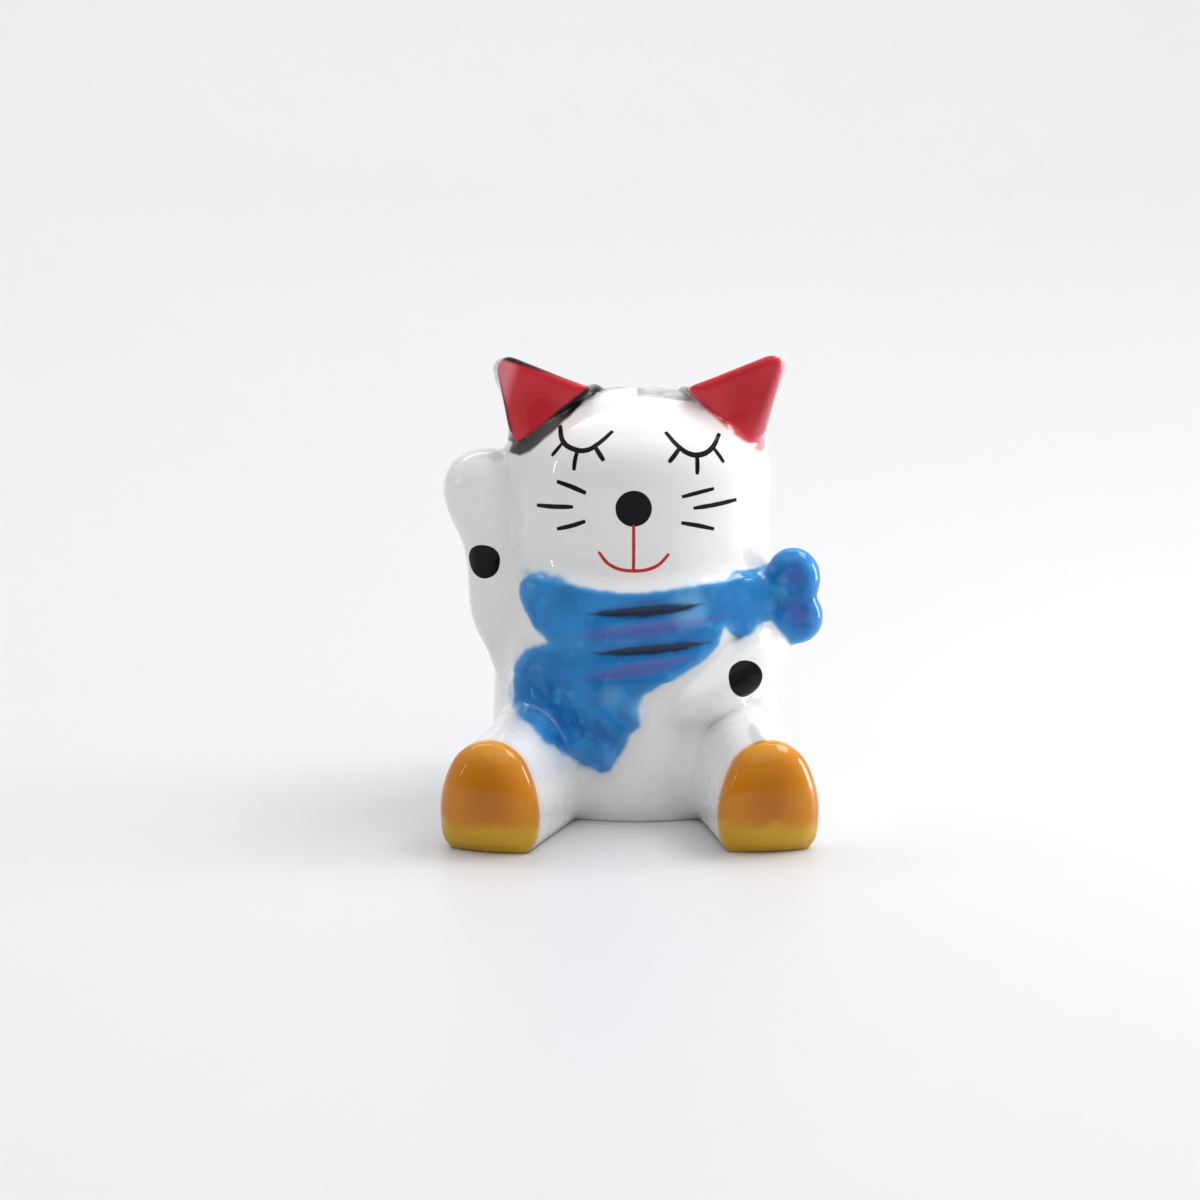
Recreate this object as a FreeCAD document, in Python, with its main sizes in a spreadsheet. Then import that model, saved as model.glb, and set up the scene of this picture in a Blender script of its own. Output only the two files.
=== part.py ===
import FreeCAD, Part
import Sketcher
import os

# A small glazed ceramic cat, seated with its legs forward, one paw raised and one paw on its belly.
# It is slip-cast as a hollow head and torso; the limbs, ears, tail and scarf are pressed separately
# and luted on with slip, and the face is a set of thin fired transfers.
# Millimetres. The cat faces -Y, +X is the cat's own left, +Z is up, and the origin is on the
# surface that it stands on, under the middle of the body.

SIZES = {
    # the hollow head and torso
    "body_height": 34.5,        # floor to the crown of the head, without the ears
    "base_width": 20.6,         # body width where it meets the floor
    "hip_width": 23.8,          # widest part of the body, low down
    "head_width": 22.1,         # the straight upper part
    "depth_ratio": 0.887,       # body depth over body width, below 1
    "crown_height": 6.3,        # height of the rounded crown
    "wall": 2.0,                # thickness of the cast wall
    "vent_diameter": 3.0,       # firing vent in the base
    "vent_setback": 4.5,        # vent centre behind the body's axis
    # the ears
    "ear_spread": 7.9,          # centre line of the head to the middle of an ear
    "ear_drop": 0.6,            # crown of the head down to the middle of an ear
    "ear_front": 4.3,           # ear's front face ahead of the body's axis
    "ear_thickness": 3.9,
    "ear_corner_round": 1.0,    # tip and lower corner
    "ear_inner_round": 0.4,     # corner towards the middle of the head
    "ear_edge_round": 0.35,
    "lining_margin": 0.38,      # red glaze field to the ear's edge
    "lining_corner_round": 0.35,
    # the legs and soles
    "foot_reach": 20.1,         # front of the soles ahead of the body's axis
    "hip_setback": 4.0,         # start of each leg ahead of the body's axis
    "right_foot_out": 12.4,     # centre line to the middle of a sole
    "left_foot_out": 10.7,
    "right_leg_turn": 17.0,     # degrees outwards
    "left_leg_turn": 9.0,
    "sole_height": 8.85,
    "sole_flat": 5.2,           # straight bottom of a sole
    "sole_corner": 1.3,
    "sole_side": 9.0,           # radius of a sole's flanks
    "sole_crown": 3.4,          # radius of a sole's top
    "sole_thickness": 2.2,
    "sole_edge_round": 1.4,
    "thigh_growth": 1.2,        # how much taller and wider a leg is at the hip
    # the arms, the tail and their spots
    "raised_arm_forward": 1.75,  # raised arm ahead of the body's axis
    "tail_height": 8.6,
    "spot_radius": 1.55,
    # the scarf
    "neck_share": 0.513,        # height of the scarf's ring over the body's height
    "scarf_width": 4.7,         # height of the ring
    "scarf_relief": 1.1,        # how far the ring stands off the body
    "drape_relief": 0.9,        # how far the hanging end stands off the body
    "drape_round": 0.45,        # rounding of the hem's corners
    "loop_dimple": 0.9,         # depth of the hollow in each loop
    # the fired transfers
    "film": 0.14,               # thickness of a transfer
    "nose_radius": 1.45,
    "nose_share": 0.755,        # heights over the body's height
    "mouth_share": 0.611,
    "eye_share": 0.886,
    "eye_spread": 4.3,
    "whisker_spread": 5.6,
    "line_width": 0.36,         # eyes and whiskers
    "mouth_line_width": 0.27,
}

# Body profile: height over the straight part's height, and how much of the taper from hip width
# to head width is done there. The two lowest stations are given apart, with the base.
TORSO_TAPER = [(0.18, 0.0), (0.32, 0.0), (0.46, 0.35), (0.6, 0.8), (0.745, 1.0), (0.887, 1.0), (1.0, 1.0)]
BASE_CURVE_HEIGHT = 1.4
BASE_SHORTFALL = 0.45                   # share of the flare from base to hips still to come at its top
CROWN_ANGLES = [20, 40, 60, 75, 84]     # degrees up the crown's quarter ellipse
ARM_TAPER = 0.35                        # stage of the taper where the resting arm lies
SHOULDER_TAPER = 0.85                   # stage of the taper beside the scarf's knot

# Middle section of a leg: share of the way from the hip to the sole, share of the thigh's growth.
KNEE_SHARE = 0.45
KNEE_GROWTH = 0.4

# Raised arm: height over body height, reach of its outer side past the head, half width, half depth.
RAISED_ARM = [(0.33, 0.9, 1.5, 1.5), (0.42, 2.15, 2.0, 2.0), (0.515, 2.85, 2.15, 2.1),
              (0.625, 3.25, 2.25, 2.2), (0.7, 4.35, 2.75, 2.55), (0.76, 4.85, 2.95, 2.7),
              (0.82, 4.3, 2.5, 2.3), (0.85, 3.2, 1.7, 1.5), (0.862, 1.85, 0.6, 0.5)]
# Resting arm: degrees round the body from straight ahead, stand-off of its centre from the body's
# side, height over body height, half width, half depth.
RESTING_ARM = [(77, -1.5, 0.42, 2.1, 2.1), (63, -0.25, 0.407, 2.4, 2.4), (49, 0.5, 0.372, 2.4, 2.3),
               (36, 0.2, 0.328, 2.2, 2.1), (25, -0.1, 0.293, 2.05, 1.95), (17, -0.3, 0.27, 1.6, 1.5),
               (12, -0.4, 0.258, 0.7, 0.6)]
# Tail: distance behind the body's back, height over tail height, radius.
TAIL = [(-2.0, 0.38, 1.75), (0.0, 0.45, 1.7), (1.3, 0.64, 1.5), (1.35, 0.84, 1.2), (0.9, 0.96, 0.7)]

# Ears, from the middle of each: the front outline's inner, top and lower corners, as (towards the
# cat's left, up), and how far the back outline stands out past each of them.
EAR_FRONT = {"right": [(4.4, 1.1), (-3.7, 4.3), (-2.3, -3.5)],
             "left": [(-3.9, 1.2), (4.4, 4.5), (2.3, -3.6)]}
EAR_BACK = {"right": [(1.0, -0.3), (-0.6, 0.7), (0.3, -2.0)],
            "left": [(-0.8, -0.3), (0.6, 0.7), (-0.3, -2.0)]}

# Hanging end of the scarf: share of the head's half width, and height over body height.
DRAPE = [(-0.72, 0.47), (-0.93, 0.355), (-0.9, 0.27), (-0.81, 0.25), (-0.74, 0.205), (-0.62, 0.2),
         (-0.52, 0.155), (-0.4, 0.155), (-0.28, 0.115), (-0.16, 0.13), (-0.12, 0.19), (0.02, 0.225),
         (0.01, 0.295), (0.2, 0.33), (0.47, 0.39), (0.6, 0.43), (0.62, 0.48)]

# Knot and loops of the scarf: share of the body's half width and a distance further out, share of
# its half depth ahead, rise over the ring's middle, and half width, half depth and half height.
KNOT = (0.85, 0.0, 0.56, 0.2, (1.9, 1.6, 2.0))
UPPER_LOOP = (1.0, 1.6, 0.5, 1.75, (2.3, 1.8, 2.6))
LOWER_LOOP = (1.0, 1.9, 0.5, -1.4, (2.25, 1.8, 2.3))
UPPER_HOLLOW = (1.1, 1.0, 1.3)          # half sizes of the ellipsoid that hollows a loop's front
LOWER_HOLLOW = (1.1, 1.0, 1.2)

# Spots of the two arms: distance past the head's side, and degrees round the body for the spot's
# place across and ahead, then the height of each over body height.
RAISED_SPOT = (1.25, 0.6)
RESTING_SPOT = (47, 49, 0.352)
ARM_STAND_OFF = 0.5                     # arm's centre line to the body's side, at the spot

# Strokes of the transfers: start, middle and end of each arc, from the transfer's own middle.
EYE = [((-2.1, 1.35), (-0.2, -0.25), (2.1, 1.3)),
       ((-1.6, 0.4), (-2.0, -0.1), (-2.5, -0.7)),
       ((-0.45, -0.15), (-0.7, -0.7), (-0.75, -1.55)),
       ((1.1, 0.1), (1.35, -0.25), (1.75, -0.75))]
WHISKERS = [((-0.95, 1.9), (0.2, 1.55), (1.3, 1.1)),
            ((-2.5, -0.15), (-1.0, -0.2), (0.35, 0.05)),
            ((-0.9, -1.95), (0.2, -1.5), (1.35, -1.15))]
MOUTH = [((-2.85, 1.35), (0.0, 0.0), (2.85, 1.3)),
         ((0.0, 3.55), (0.04, 1.75), (0.0, 0.0))]
STROKE_START = 20.0                     # ahead of every transfer
STROKE_LENGTH = 17.0

doc = FreeCAD.newDocument("ceramic_cat")
sheet = doc.addObject("Spreadsheet::Sheet", "sizes")
for row, (alias, value) in enumerate(SIZES.items(), start=1):
    sheet.set(f"A{row}", alias)
    sheet.set(f"B{row}", str(value))
    sheet.setAlias(f"B{row}", alias)
doc.recompute()

NECK = "sizes.body_height * sizes.neck_share"


def size(alias):
    """The value of one cell of the sheet."""
    return float(sheet.get(alias))


def add(kind, name, bound=None, **values):
    """A document object with plain values and with properties bound to the sheet."""
    made = doc.addObject(kind, name)
    for prop, value in values.items():
        setattr(made, prop, value)
    for prop, text in (bound or {}).items():
        made.setExpression(prop, text)
    return made


def at(x="0", y="0", z="0"):
    """Expressions for an object's place."""
    return {"Placement.Base.x": x, "Placement.Base.y": y, "Placement.Base.z": z}


def ring(name, half_width, half_depth, place):
    """An elliptical section, level until it is turned."""
    return add("Part::Ellipse", name, {"MinorRadius": half_depth, "MajorRadius": half_width, **place})


def loft(name, sections):
    return add("Part::Loft", name, Sections=sections, Solid=True)


def square_to_path(sections):
    """Turns each section square to the line through its neighbours."""
    doc.recompute()
    centres = [section.Placement.Base for section in sections]
    for here, section in enumerate(sections):
        ahead = centres[min(here + 1, len(sections) - 1)]
        behind = centres[max(here - 1, 0)]
        normal = ahead - behind
        across = FreeCAD.Vector(0, 0, 1).cross(normal)
        rotation = FreeCAD.Rotation(across, FreeCAD.Vector(), normal, "ZXY")
        section.Placement = FreeCAD.Placement(centres[here], rotation)
    return sections


def less(name, base, *tools):
    """The base with every tool cut away; the last cut has the name."""
    for count, tool in enumerate(tools, start=1):
        step = name if count == len(tools) else f"{name}_cut_{count}"
        base = add("Part::Cut", step, Base=base, Tool=tool)
    return base


def common(name, base, tool):
    return add("Part::Common", name, Base=base, Tool=tool)


def level_slab(name, height, bottom):
    """A slab that reaches past the body on every side."""
    return add("Part::Box", name, {"Length": "2 * sizes.hip_width", "Width": "2 * sizes.hip_width",
                                   "Height": height, **at("-sizes.hip_width", "-sizes.hip_width", bottom)})


def half_width(taper, extra):
    """Half of the body's width at a stage of the taper, grown by an expression."""
    return f"sizes.hip_width / 2 - {taper} * (sizes.hip_width - sizes.head_width) / 2 + {extra}"


def half_depth(taper, extra):
    return f"({half_width(taper, 0)}) * sizes.depth_ratio + {extra}"


def torso(name, extra):
    """The solid outer shape of head and torso, grown all round by an expression."""
    straight = "(sizes.body_height - sizes.crown_height)"
    edge = "sizes.base_width / 2"
    low = f"sizes.hip_width / 2 - {BASE_SHORTFALL} * (sizes.hip_width - sizes.base_width) / 2"
    sections = [ring(f"{name}_base", f"{edge} + {extra}", f"{edge} * sizes.depth_ratio + {extra}", at()),
                ring(f"{name}_low", f"{low} + {extra}", f"({low}) * sizes.depth_ratio + {extra}",
                     at(z=str(BASE_CURVE_HEIGHT)))]
    for count, (share, taper) in enumerate(TORSO_TAPER):
        sections.append(ring(f"{name}_side_{count}", half_width(taper, extra), half_depth(taper, extra),
                             at(z=f"{straight} * {share}")))
    for angle in CROWN_ANGLES:
        wide = f"(sizes.head_width / 2 + {extra}) * cos({angle})"
        deep = f"(sizes.head_width / 2 * sizes.depth_ratio + {extra}) * cos({angle})"
        rise = f"{straight} + (sizes.crown_height + {extra}) * sin({angle})"
        sections.append(ring(f"{name}_crown_{angle}", wide, deep, at(z=rise)))
    return loft(name, sections)


def raised_arm(name, extra):
    sections = []
    for count, (share, reach, wide, deep) in enumerate(RAISED_ARM):
        place = at(f"-(sizes.head_width / 2 + {reach} - {wide})", "-sizes.raised_arm_forward",
                   f"sizes.body_height * {share}")
        sections.append(ring(f"{name}_{count}", f"{wide} + {extra}", f"{deep} + {extra}", place))
    return loft(name, sections)


def resting_arm(name, extra):
    sections = []
    for count, (angle, off, share, wide, deep) in enumerate(RESTING_ARM):
        place = at(f"({half_width(ARM_TAPER, off)}) * sin({angle})",
                   f"-({half_depth(ARM_TAPER, off)}) * cos({angle})", f"sizes.body_height * {share}")
        sections.append(ring(f"{name}_{count}", f"{wide} + {extra}", f"{deep} + {extra}", place))
    return loft(name, square_to_path(sections))


def tail(name):
    sections = []
    for count, (behind, share, radius) in enumerate(TAIL):
        place = at(y=f"sizes.hip_width / 2 * sizes.depth_ratio + {behind}", z=f"sizes.tail_height * {share}")
        sections.append(ring(f"{name}_{count}", str(radius), str(radius), place))
    return loft(name, square_to_path(sections))


def scarf_ring(name):
    """A band round the body at the neck."""
    slab = level_slab(f"{name}_slab", "sizes.scarf_width", f"{NECK} - sizes.scarf_width / 2")
    return common(name, torso(f"{name}_skin", "sizes.scarf_relief"), slab)


def scarf_place(share, out, ahead, rise):
    """A place beside the scarf's ring, on the cat's left."""
    return at(f"({half_width(SHOULDER_TAPER, 0)}) * {share} + {out}",
              f"-({half_depth(SHOULDER_TAPER, 0)}) * {ahead}", f"{NECK} + {rise}")


def scarf_loop(name, place, half_sizes, hollow_sizes):
    """A loop's blank, and the ellipsoid that hollows its front."""
    forward = f"{place['Placement.Base.y']} - {half_sizes[1] + hollow_sizes[1]} + sizes.loop_dimple"
    return (blob(f"{name}_blank", half_sizes, place),
            blob(f"{name}_hollow", hollow_sizes, {**place, "Placement.Base.y": forward}))


def origin_plane(body, role):
    return [feature for feature in body.Origin.OriginFeatures if feature.Role == role][0]


def upright_sketch(body, name, ahead):
    """A sketch across the body's front, its place ahead bound to an expression."""
    sketch = body.newObject("Sketcher::SketchObject", name)
    sketch.AttachmentSupport = [(origin_plane(body, "XZ_Plane"), "")]
    sketch.MapMode = "FlatFace"
    sketch.setExpression("AttachmentOffset.Base.z", ahead)
    return sketch


def arch_sketch(body, name, ahead, growth="0 * sizes.thigh_growth"):
    """A sole's outline: flat bottom, round corners, bowed flanks and a round top, all tangent."""
    sketch = upright_sketch(body, name, ahead)
    flat, corner, side, crown = (size(f"sole_{word}") for word in ("flat", "corner", "side", "crown"))
    flat, top = flat / 2, size("sole_height")
    # the flank's centre is as far inside the corner's arc as inside the crown's arc
    low, high = side - corner, side - crown
    across, rise = -flat, top - crown - corner
    apart = (across ** 2 + rise ** 2) ** 0.5
    along = (low ** 2 - high ** 2 + apart ** 2) / (2 * apart)
    off = (low ** 2 - along ** 2) ** 0.5
    centre_x = flat + (along * across - off * rise) / apart
    centre_z = corner + (along * rise + off * across) / apart
    low_x = centre_x + (flat - centre_x) * side / low
    low_z = centre_z + (corner - centre_z) * side / low
    high_x = centre_x - centre_x * side / high
    high_z = centre_z + (top - crown - centre_z) * side / high
    ends = [(flat, 0), (low_x, low_z), (high_x, high_z), (-high_x, high_z), (-low_x, low_z), (-flat, 0)]
    slant = corner * 0.7071
    middles = [(flat + slant, corner - slant), (centre_x + side, centre_z), (0, top),
               (-centre_x - side, centre_z), (-flat - slant, corner - slant)]
    points = [FreeCAD.Vector(x, z, 0) for x, z in ends]
    for start, middle, end in zip(points, middles, points[1:]):
        sketch.addGeometry(Part.Arc(start, FreeCAD.Vector(*middle, 0), end), False)
    sketch.addGeometry(Part.LineSegment(points[-1], points[0]), False)
    for here in range(6):
        sketch.addConstraint(Sketcher.Constraint("Tangent", here, 2, (here + 1) % 6, 1))
    sketch.addConstraint(Sketcher.Constraint("Horizontal", 5))
    sketch.addConstraint(Sketcher.Constraint("Symmetric", 5, 1, 5, 2, -1, 1))
    sketch.addConstraint(Sketcher.Constraint("PointOnObject", 2, 3, -2))
    sketch.addConstraint(Sketcher.Constraint("Equal", 0, 4))
    sketch.addConstraint(Sketcher.Constraint("Equal", 1, 3))
    driven = [("corner", Sketcher.Constraint("Radius", 0, corner), "sizes.sole_corner"),
              ("side", Sketcher.Constraint("Radius", 1, side), "sizes.sole_side"),
              ("crown", Sketcher.Constraint("Radius", 2, crown), "sizes.sole_crown"),
              ("flat", Sketcher.Constraint("DistanceX", 5, 1, 5, 2, 2 * flat), f"sizes.sole_flat + {growth}"),
              ("rise", Sketcher.Constraint("DistanceY", -1, 1, 2, 3, top - crown),
               f"sizes.sole_height - sizes.sole_crown + {growth}")]
    for word, constraint, text in driven:
        sketch.renameConstraint(sketch.addConstraint(constraint), word)
        sketch.setExpression(f"Constraints.{word}", text)
    return sketch


def outline_sketch(body, name, ahead, corners):
    """A closed outline of straight sides, fixed where it is drawn."""
    sketch = upright_sketch(body, name, ahead)
    points = [FreeCAD.Vector(x, z, 0) for x, z in corners]
    for here, point in enumerate(points):
        sketch.addGeometry(Part.LineSegment(point, points[(here + 1) % len(points)]), False)
    for here in range(len(points)):
        sketch.addConstraint(Sketcher.Constraint("Coincident", here, 2, (here + 1) % len(points), 1))
    for here in range(len(points)):
        sketch.addConstraint(Sketcher.Constraint("Block", here))
    return sketch


def body_at(name, place, turn=0.0):
    """A body whose place is bound to the sheet, turned about the vertical."""
    body = add("PartDesign::Body", name, place)
    body.Placement.Rotation = FreeCAD.Rotation(FreeCAD.Vector(0, 0, 1), turn)
    return body


def body_loft(body, name, sketches):
    made = body.newObject("PartDesign::AdditiveLoft", name)
    made.Profile = sketches[0]
    made.Sections = sketches[1:]
    for sketch in sketches:
        sketch.Visibility = False
    return made


def body_fillet(body, name, base, radius, wanted):
    """Rounds the edges of the base that the test wants."""
    doc.recompute()
    edges = [f"Edge{count}" for count, edge in enumerate(base.Shape.Edges, start=1) if wanted(edge)]
    made = body.newObject("PartDesign::Fillet", name)
    made.Base = (base, edges)
    made.setExpression("Radius", radius)
    return made


def is_level_ahead(edge, ahead):
    """Whether an edge lies in the upright plane at this distance ahead of the body's own origin."""
    return all(abs(vertex.Y + ahead) < 0.001 for vertex in edge.Vertexes)


def leg_place(side, back):
    """The middle of a leg's section, at a distance back from the front of the sole, as expressions."""
    sign = "-" if side == "right" else ""
    turn = f"sizes.{side}_leg_turn"
    return at(f"{sign}(sizes.{side}_foot_out - ({back}) * sin({turn}))",
              f"-(sizes.foot_reach - ({back}) * cos({turn}))")


def leg(side, *tools):
    """A leg from the hip to the back of its sole."""
    turn = size(f"{side}_leg_turn") * (-1 if side == "right" else 1)
    whole = f"(sizes.foot_reach - sizes.hip_setback) / cos(sizes.{side}_leg_turn)"
    body = body_at(f"{side}_leg_blank", leg_place(side, whole), turn)
    front = f"{whole} - sizes.sole_thickness"
    sketches = [arch_sketch(body, f"{side}_hip", "0", "sizes.thigh_growth"),
                arch_sketch(body, f"{side}_knee", f"({front}) * {KNEE_SHARE}",
                            f"{KNEE_GROWTH} * sizes.thigh_growth"),
                arch_sketch(body, f"{side}_ankle", front)]
    body_loft(body, f"{side}_leg_loft", sketches)
    return less(f"{side}_leg", body, *tools)


def sole(side):
    """The coloured sole: a pad of the leg's own outline with its front edge rounded."""
    turn = size(f"{side}_leg_turn") * (-1 if side == "right" else 1)
    body = body_at(f"{side}_sole", leg_place(side, "sizes.sole_thickness"), turn)
    sketch = arch_sketch(body, f"{side}_sole_outline", "0")
    pad = body.newObject("PartDesign::Pad", f"{side}_sole_pad")
    pad.Profile = sketch
    sketch.Visibility = False
    pad.setExpression("Length", "sizes.sole_thickness")
    thickness = size("sole_thickness")
    body_fillet(body, f"{side}_sole_edge", pad, "sizes.sole_edge_round",
                lambda edge: is_level_ahead(edge, thickness))
    return body


def ear_place(side, ahead="0"):
    sign = "-" if side == "right" else ""
    return at(f"{sign}sizes.ear_spread", f"-({ahead})", "sizes.body_height - sizes.ear_drop")


def mirrored(side, points):
    """Points drawn for the cat's right, turned over for its left."""
    sign = 1 if side == "right" else -1
    return [(sign * x, z) for x, z in points]


def ear(side, *tools):
    """A three-cornered ear that widens towards its back and sits down into the crown."""
    body = body_at(f"{side}_ear_blank", ear_place(side))
    back = [(x + dx, z + dz) for (x, z), (dx, dz) in zip(EAR_FRONT[side], EAR_BACK[side])]
    sketches = [outline_sketch(body, f"{side}_ear_back", "sizes.ear_front - sizes.ear_thickness", back),
                outline_sketch(body, f"{side}_ear_front", "sizes.ear_front", EAR_FRONT[side])]
    blank = body_loft(body, f"{side}_ear_loft", sketches)
    front, rear = size("ear_front"), size("ear_front") - size("ear_thickness")
    inwards = 1 if side == "right" else -1

    def runs_back(edge):
        return not (is_level_ahead(edge, front) or is_level_ahead(edge, rear))

    inner = body_fillet(body, f"{side}_ear_inner", blank, "sizes.ear_inner_round",
                        lambda edge: runs_back(edge) and edge.CenterOfMass.x * inwards > 0)
    outer = body_fillet(body, f"{side}_ear_outer", inner, "sizes.ear_corner_round",
                        lambda edge: len(edge.Vertexes) == 2 and runs_back(edge)
                        and edge.CenterOfMass.x * inwards < 0)
    body_fillet(body, f"{side}_ear_edges", outer, "sizes.ear_edge_round",
                lambda edge: is_level_ahead(edge, front))
    return less(f"{side}_ear", body, *tools)


def offset(name, source, value, fill=False):
    return add("Part::Offset2D", name, {"Value": value}, Source=source, Join="Arc", Mode="Skin", Fill=fill)


def push(name, base, length, ahead):
    """Extrudes an upright outline straight back, or straight ahead."""
    return add("Part::Extrusion", name, {"LengthFwd": length}, Base=base, DirMode="Custom",
               Dir=FreeCAD.Vector(0, -1 if ahead else 1, 0), Solid=True)


def flat_face(name, corners, place):
    """An upright flat face with straight sides."""
    nodes = [FreeCAD.Vector(x, 0, z) for x, z in corners]
    outline = add("Part::Polygon", f"{name}_outline", place, Nodes=nodes, Close=True)
    return add("Part::Face", name, Sources=[outline], FaceMakerClass="Part::FaceMakerBullseye")


def ear_lining(side):
    """The red field on an ear's front face, one margin in from the edge."""
    outline = flat_face(f"{side}_lining_face", EAR_FRONT[side], ear_place(side, "sizes.ear_front"))
    inner = offset(f"{side}_lining_inner", outline, "-(sizes.lining_margin + sizes.lining_corner_round)")
    field = offset(f"{side}_lining_field", inner, "sizes.lining_corner_round")
    return push(f"{side}_ear_lining", field, "sizes.film", True)


def stroke(name, points, width, place):
    """One stroke of a transfer: an arc, given a width with round ends and pushed through the face."""
    sketch = add("Sketcher::SketchObject", f"{name}_line", place)
    sketch.Placement.Rotation = FreeCAD.Rotation(FreeCAD.Vector(1, 0, 0), 90)
    sketch.addGeometry(Part.Arc(*(FreeCAD.Vector(x, z, 0) for x, z in points)), False)
    sketch.addConstraint(Sketcher.Constraint("Block", 0))
    band = offset(f"{name}_band", sketch, f"{width} / 2", fill=True)
    return push(name, band, str(STROKE_LENGTH), False)


def transfer(name, strokes, width, place, film, side="right"):
    """A transfer of several strokes, where they meet the thin film over the face."""
    solids = [stroke(f"{name}_stroke_{count}", mirrored(side, points), width, place)
              for count, points in enumerate(strokes)]
    return common(name, add("Part::MultiFuse", f"{name}_strokes", Shapes=solids), film)


def peg(name, radius, x, z, length=str(STROKE_LENGTH)):
    """A round bar straight back from in front of the cat."""
    made = add("Part::Cylinder", name, {"Radius": radius, "Height": length,
                                        **at(x, str(-STROKE_START), z)})
    made.Placement.Rotation = FreeCAD.Rotation(FreeCAD.Vector(1, 0, 0), -90)
    return made


def blob(name, half_sizes, place):
    """An ellipsoid of a half width, a half depth and a half height."""
    wide, deep, tall = half_sizes
    return add("Part::Ellipsoid", name, place, Radius1=tall, Radius2=wide, Radius3=deep)


# ---- the body and its limbs, each cut where it meets what it is luted to ----
body_outer = torso("body_outer", "0")
cavity = torso("cavity_shape", "-sizes.wall")
hollow = less("hollow", cavity, level_slab("base_slab", "sizes.wall", "0"))
vent = add("Part::Cylinder", "vent", {"Radius": "sizes.vent_diameter / 2", "Height": "sizes.wall * 2",
                                      **at(y="sizes.vent_setback", z="-sizes.wall / 2")})
arm_up = raised_arm("raised_arm_blank", "0")
arm_down = resting_arm("resting_arm_blank", "0")
ring_blank = scarf_ring("scarf_ring_blank")

pieces = [less("head_and_torso", body_outer, hollow, vent),
          less("raised_arm", arm_up, body_outer),
          less("resting_arm", arm_down, body_outer, ring_blank),
          less("tail", tail("tail_blank"), body_outer),
          leg("right", body_outer, arm_down),
          leg("left", body_outer, arm_down),
          sole("right"), sole("left"),
          ear("right", body_outer, arm_up), ear("left", body_outer),
          ear_lining("right"), ear_lining("left")]

# ---- the scarf: a ring, a hanging end, a knot and two loops on the cat's left shoulder ----
drape_corners = [(x * size("head_width") / 2, z * size("body_height")) for x, z in DRAPE]
drape_face = flat_face("drape_face", drape_corners, at(y=str(-STROKE_START)))
drape_inner = offset("drape_inner", drape_face, "-sizes.drape_round")
drape_outer = offset("drape_outer", drape_inner, "2 * sizes.drape_round")
drape_hem = offset("drape_hem", drape_outer, "-sizes.drape_round")
drape_blank = common("drape_blank", push("drape_block", drape_hem, str(STROKE_LENGTH), False),
                     torso("drape_skin", "sizes.drape_relief"))

knot_blank = blob("knot_blank", KNOT[-1], scarf_place(*KNOT[:-1]))
upper_blank, upper_hollow = scarf_loop("upper", scarf_place(*UPPER_LOOP[:-1]), UPPER_LOOP[-1], UPPER_HOLLOW)
lower_blank, lower_hollow = scarf_loop("lower", scarf_place(*LOWER_LOOP[:-1]), LOWER_LOOP[-1], LOWER_HOLLOW)
pieces += [less("scarf_wrap", ring_blank, body_outer, arm_up),
           less("scarf_drape", drape_blank, ring_blank, arm_down, doc.right_leg_blank, body_outer),
           less("scarf_knot", knot_blank, ring_blank, arm_down, body_outer),
           less("scarf_upper_loop", upper_blank, upper_hollow, knot_blank, ring_blank, arm_down, body_outer),
           less("scarf_lower_loop", lower_blank, lower_hollow, upper_blank, knot_blank, ring_blank, arm_down,
                body_outer)]

# ---- the fired transfers, each a thin film that lies on the glaze ----
film = less("face_film", torso("face_skin", "sizes.film"), body_outer)
raised_film = less("raised_film", raised_arm("raised_skin", "sizes.film"), arm_up)
resting_film = less("resting_film", resting_arm("resting_skin", "sizes.film"), arm_down)
eye_height = "sizes.body_height * sizes.eye_share"
whisker_height = "sizes.body_height * sizes.nose_share"
for_face = at(y=str(-STROKE_START))
pieces += [common("nose_transfer", peg("nose_bar", "sizes.nose_radius", "0", whisker_height), film),
           transfer("mouth_transfer", MOUTH, "sizes.mouth_line_width",
                    {**for_face, "Placement.Base.z": "sizes.body_height * sizes.mouth_share"}, film)]
for side, sign in (("right", "-"), ("left", "")):
    eye_place = at(f"{sign}sizes.eye_spread", str(-STROKE_START), eye_height)
    whisker_place = at(f"{sign}sizes.whisker_spread", str(-STROKE_START), whisker_height)
    pieces.append(transfer(f"{side}_eye_transfer", EYE, "sizes.line_width", eye_place, film, side))
    pieces.append(transfer(f"{side}_whiskers_transfer", WHISKERS, "sizes.line_width", whisker_place, film,
                           side))
past, share = RAISED_SPOT
raised_bar = peg("raised_spot_bar", "sizes.spot_radius", f"-(sizes.head_width / 2 + {past})",
                 f"sizes.body_height * {share}", f"{STROKE_START} - sizes.raised_arm_forward")
across, ahead, share = RESTING_SPOT
resting_bar = peg("resting_spot_bar", "sizes.spot_radius",
                  f"({half_width(ARM_TAPER, ARM_STAND_OFF)}) * sin({across})", f"sizes.body_height * {share}",
                  f"{STROKE_START} - ({half_depth(ARM_TAPER, ARM_STAND_OFF)}) * cos({ahead})")
pieces += [common("raised_arm_spot", raised_bar, raised_film),
           common("resting_arm_spot", resting_bar, resting_film)]
doc.recompute()

# ---- checks, and one file for each piece ----
for made in doc.Objects:
    if {"Invalid", "Error"} & set(made.State):
        raise SystemExit(f"{made.Name} failed: {made.State}")
for piece in pieces:
    if piece.Shape.isNull() or not piece.Shape.isValid() or len(piece.Shape.Solids) == 0:
        raise SystemExit(f"{piece.Label} has no valid solid")
os.makedirs("parts", exist_ok=True)
for piece in pieces:
    piece.Shape.exportStep(f"parts/{piece.Label}.step")
    print(f"{piece.Label}: {len(piece.Shape.Solids)} solid(s), {piece.Shape.Volume:.2f} mm3")
print(f"{len(pieces)} pieces")
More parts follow.
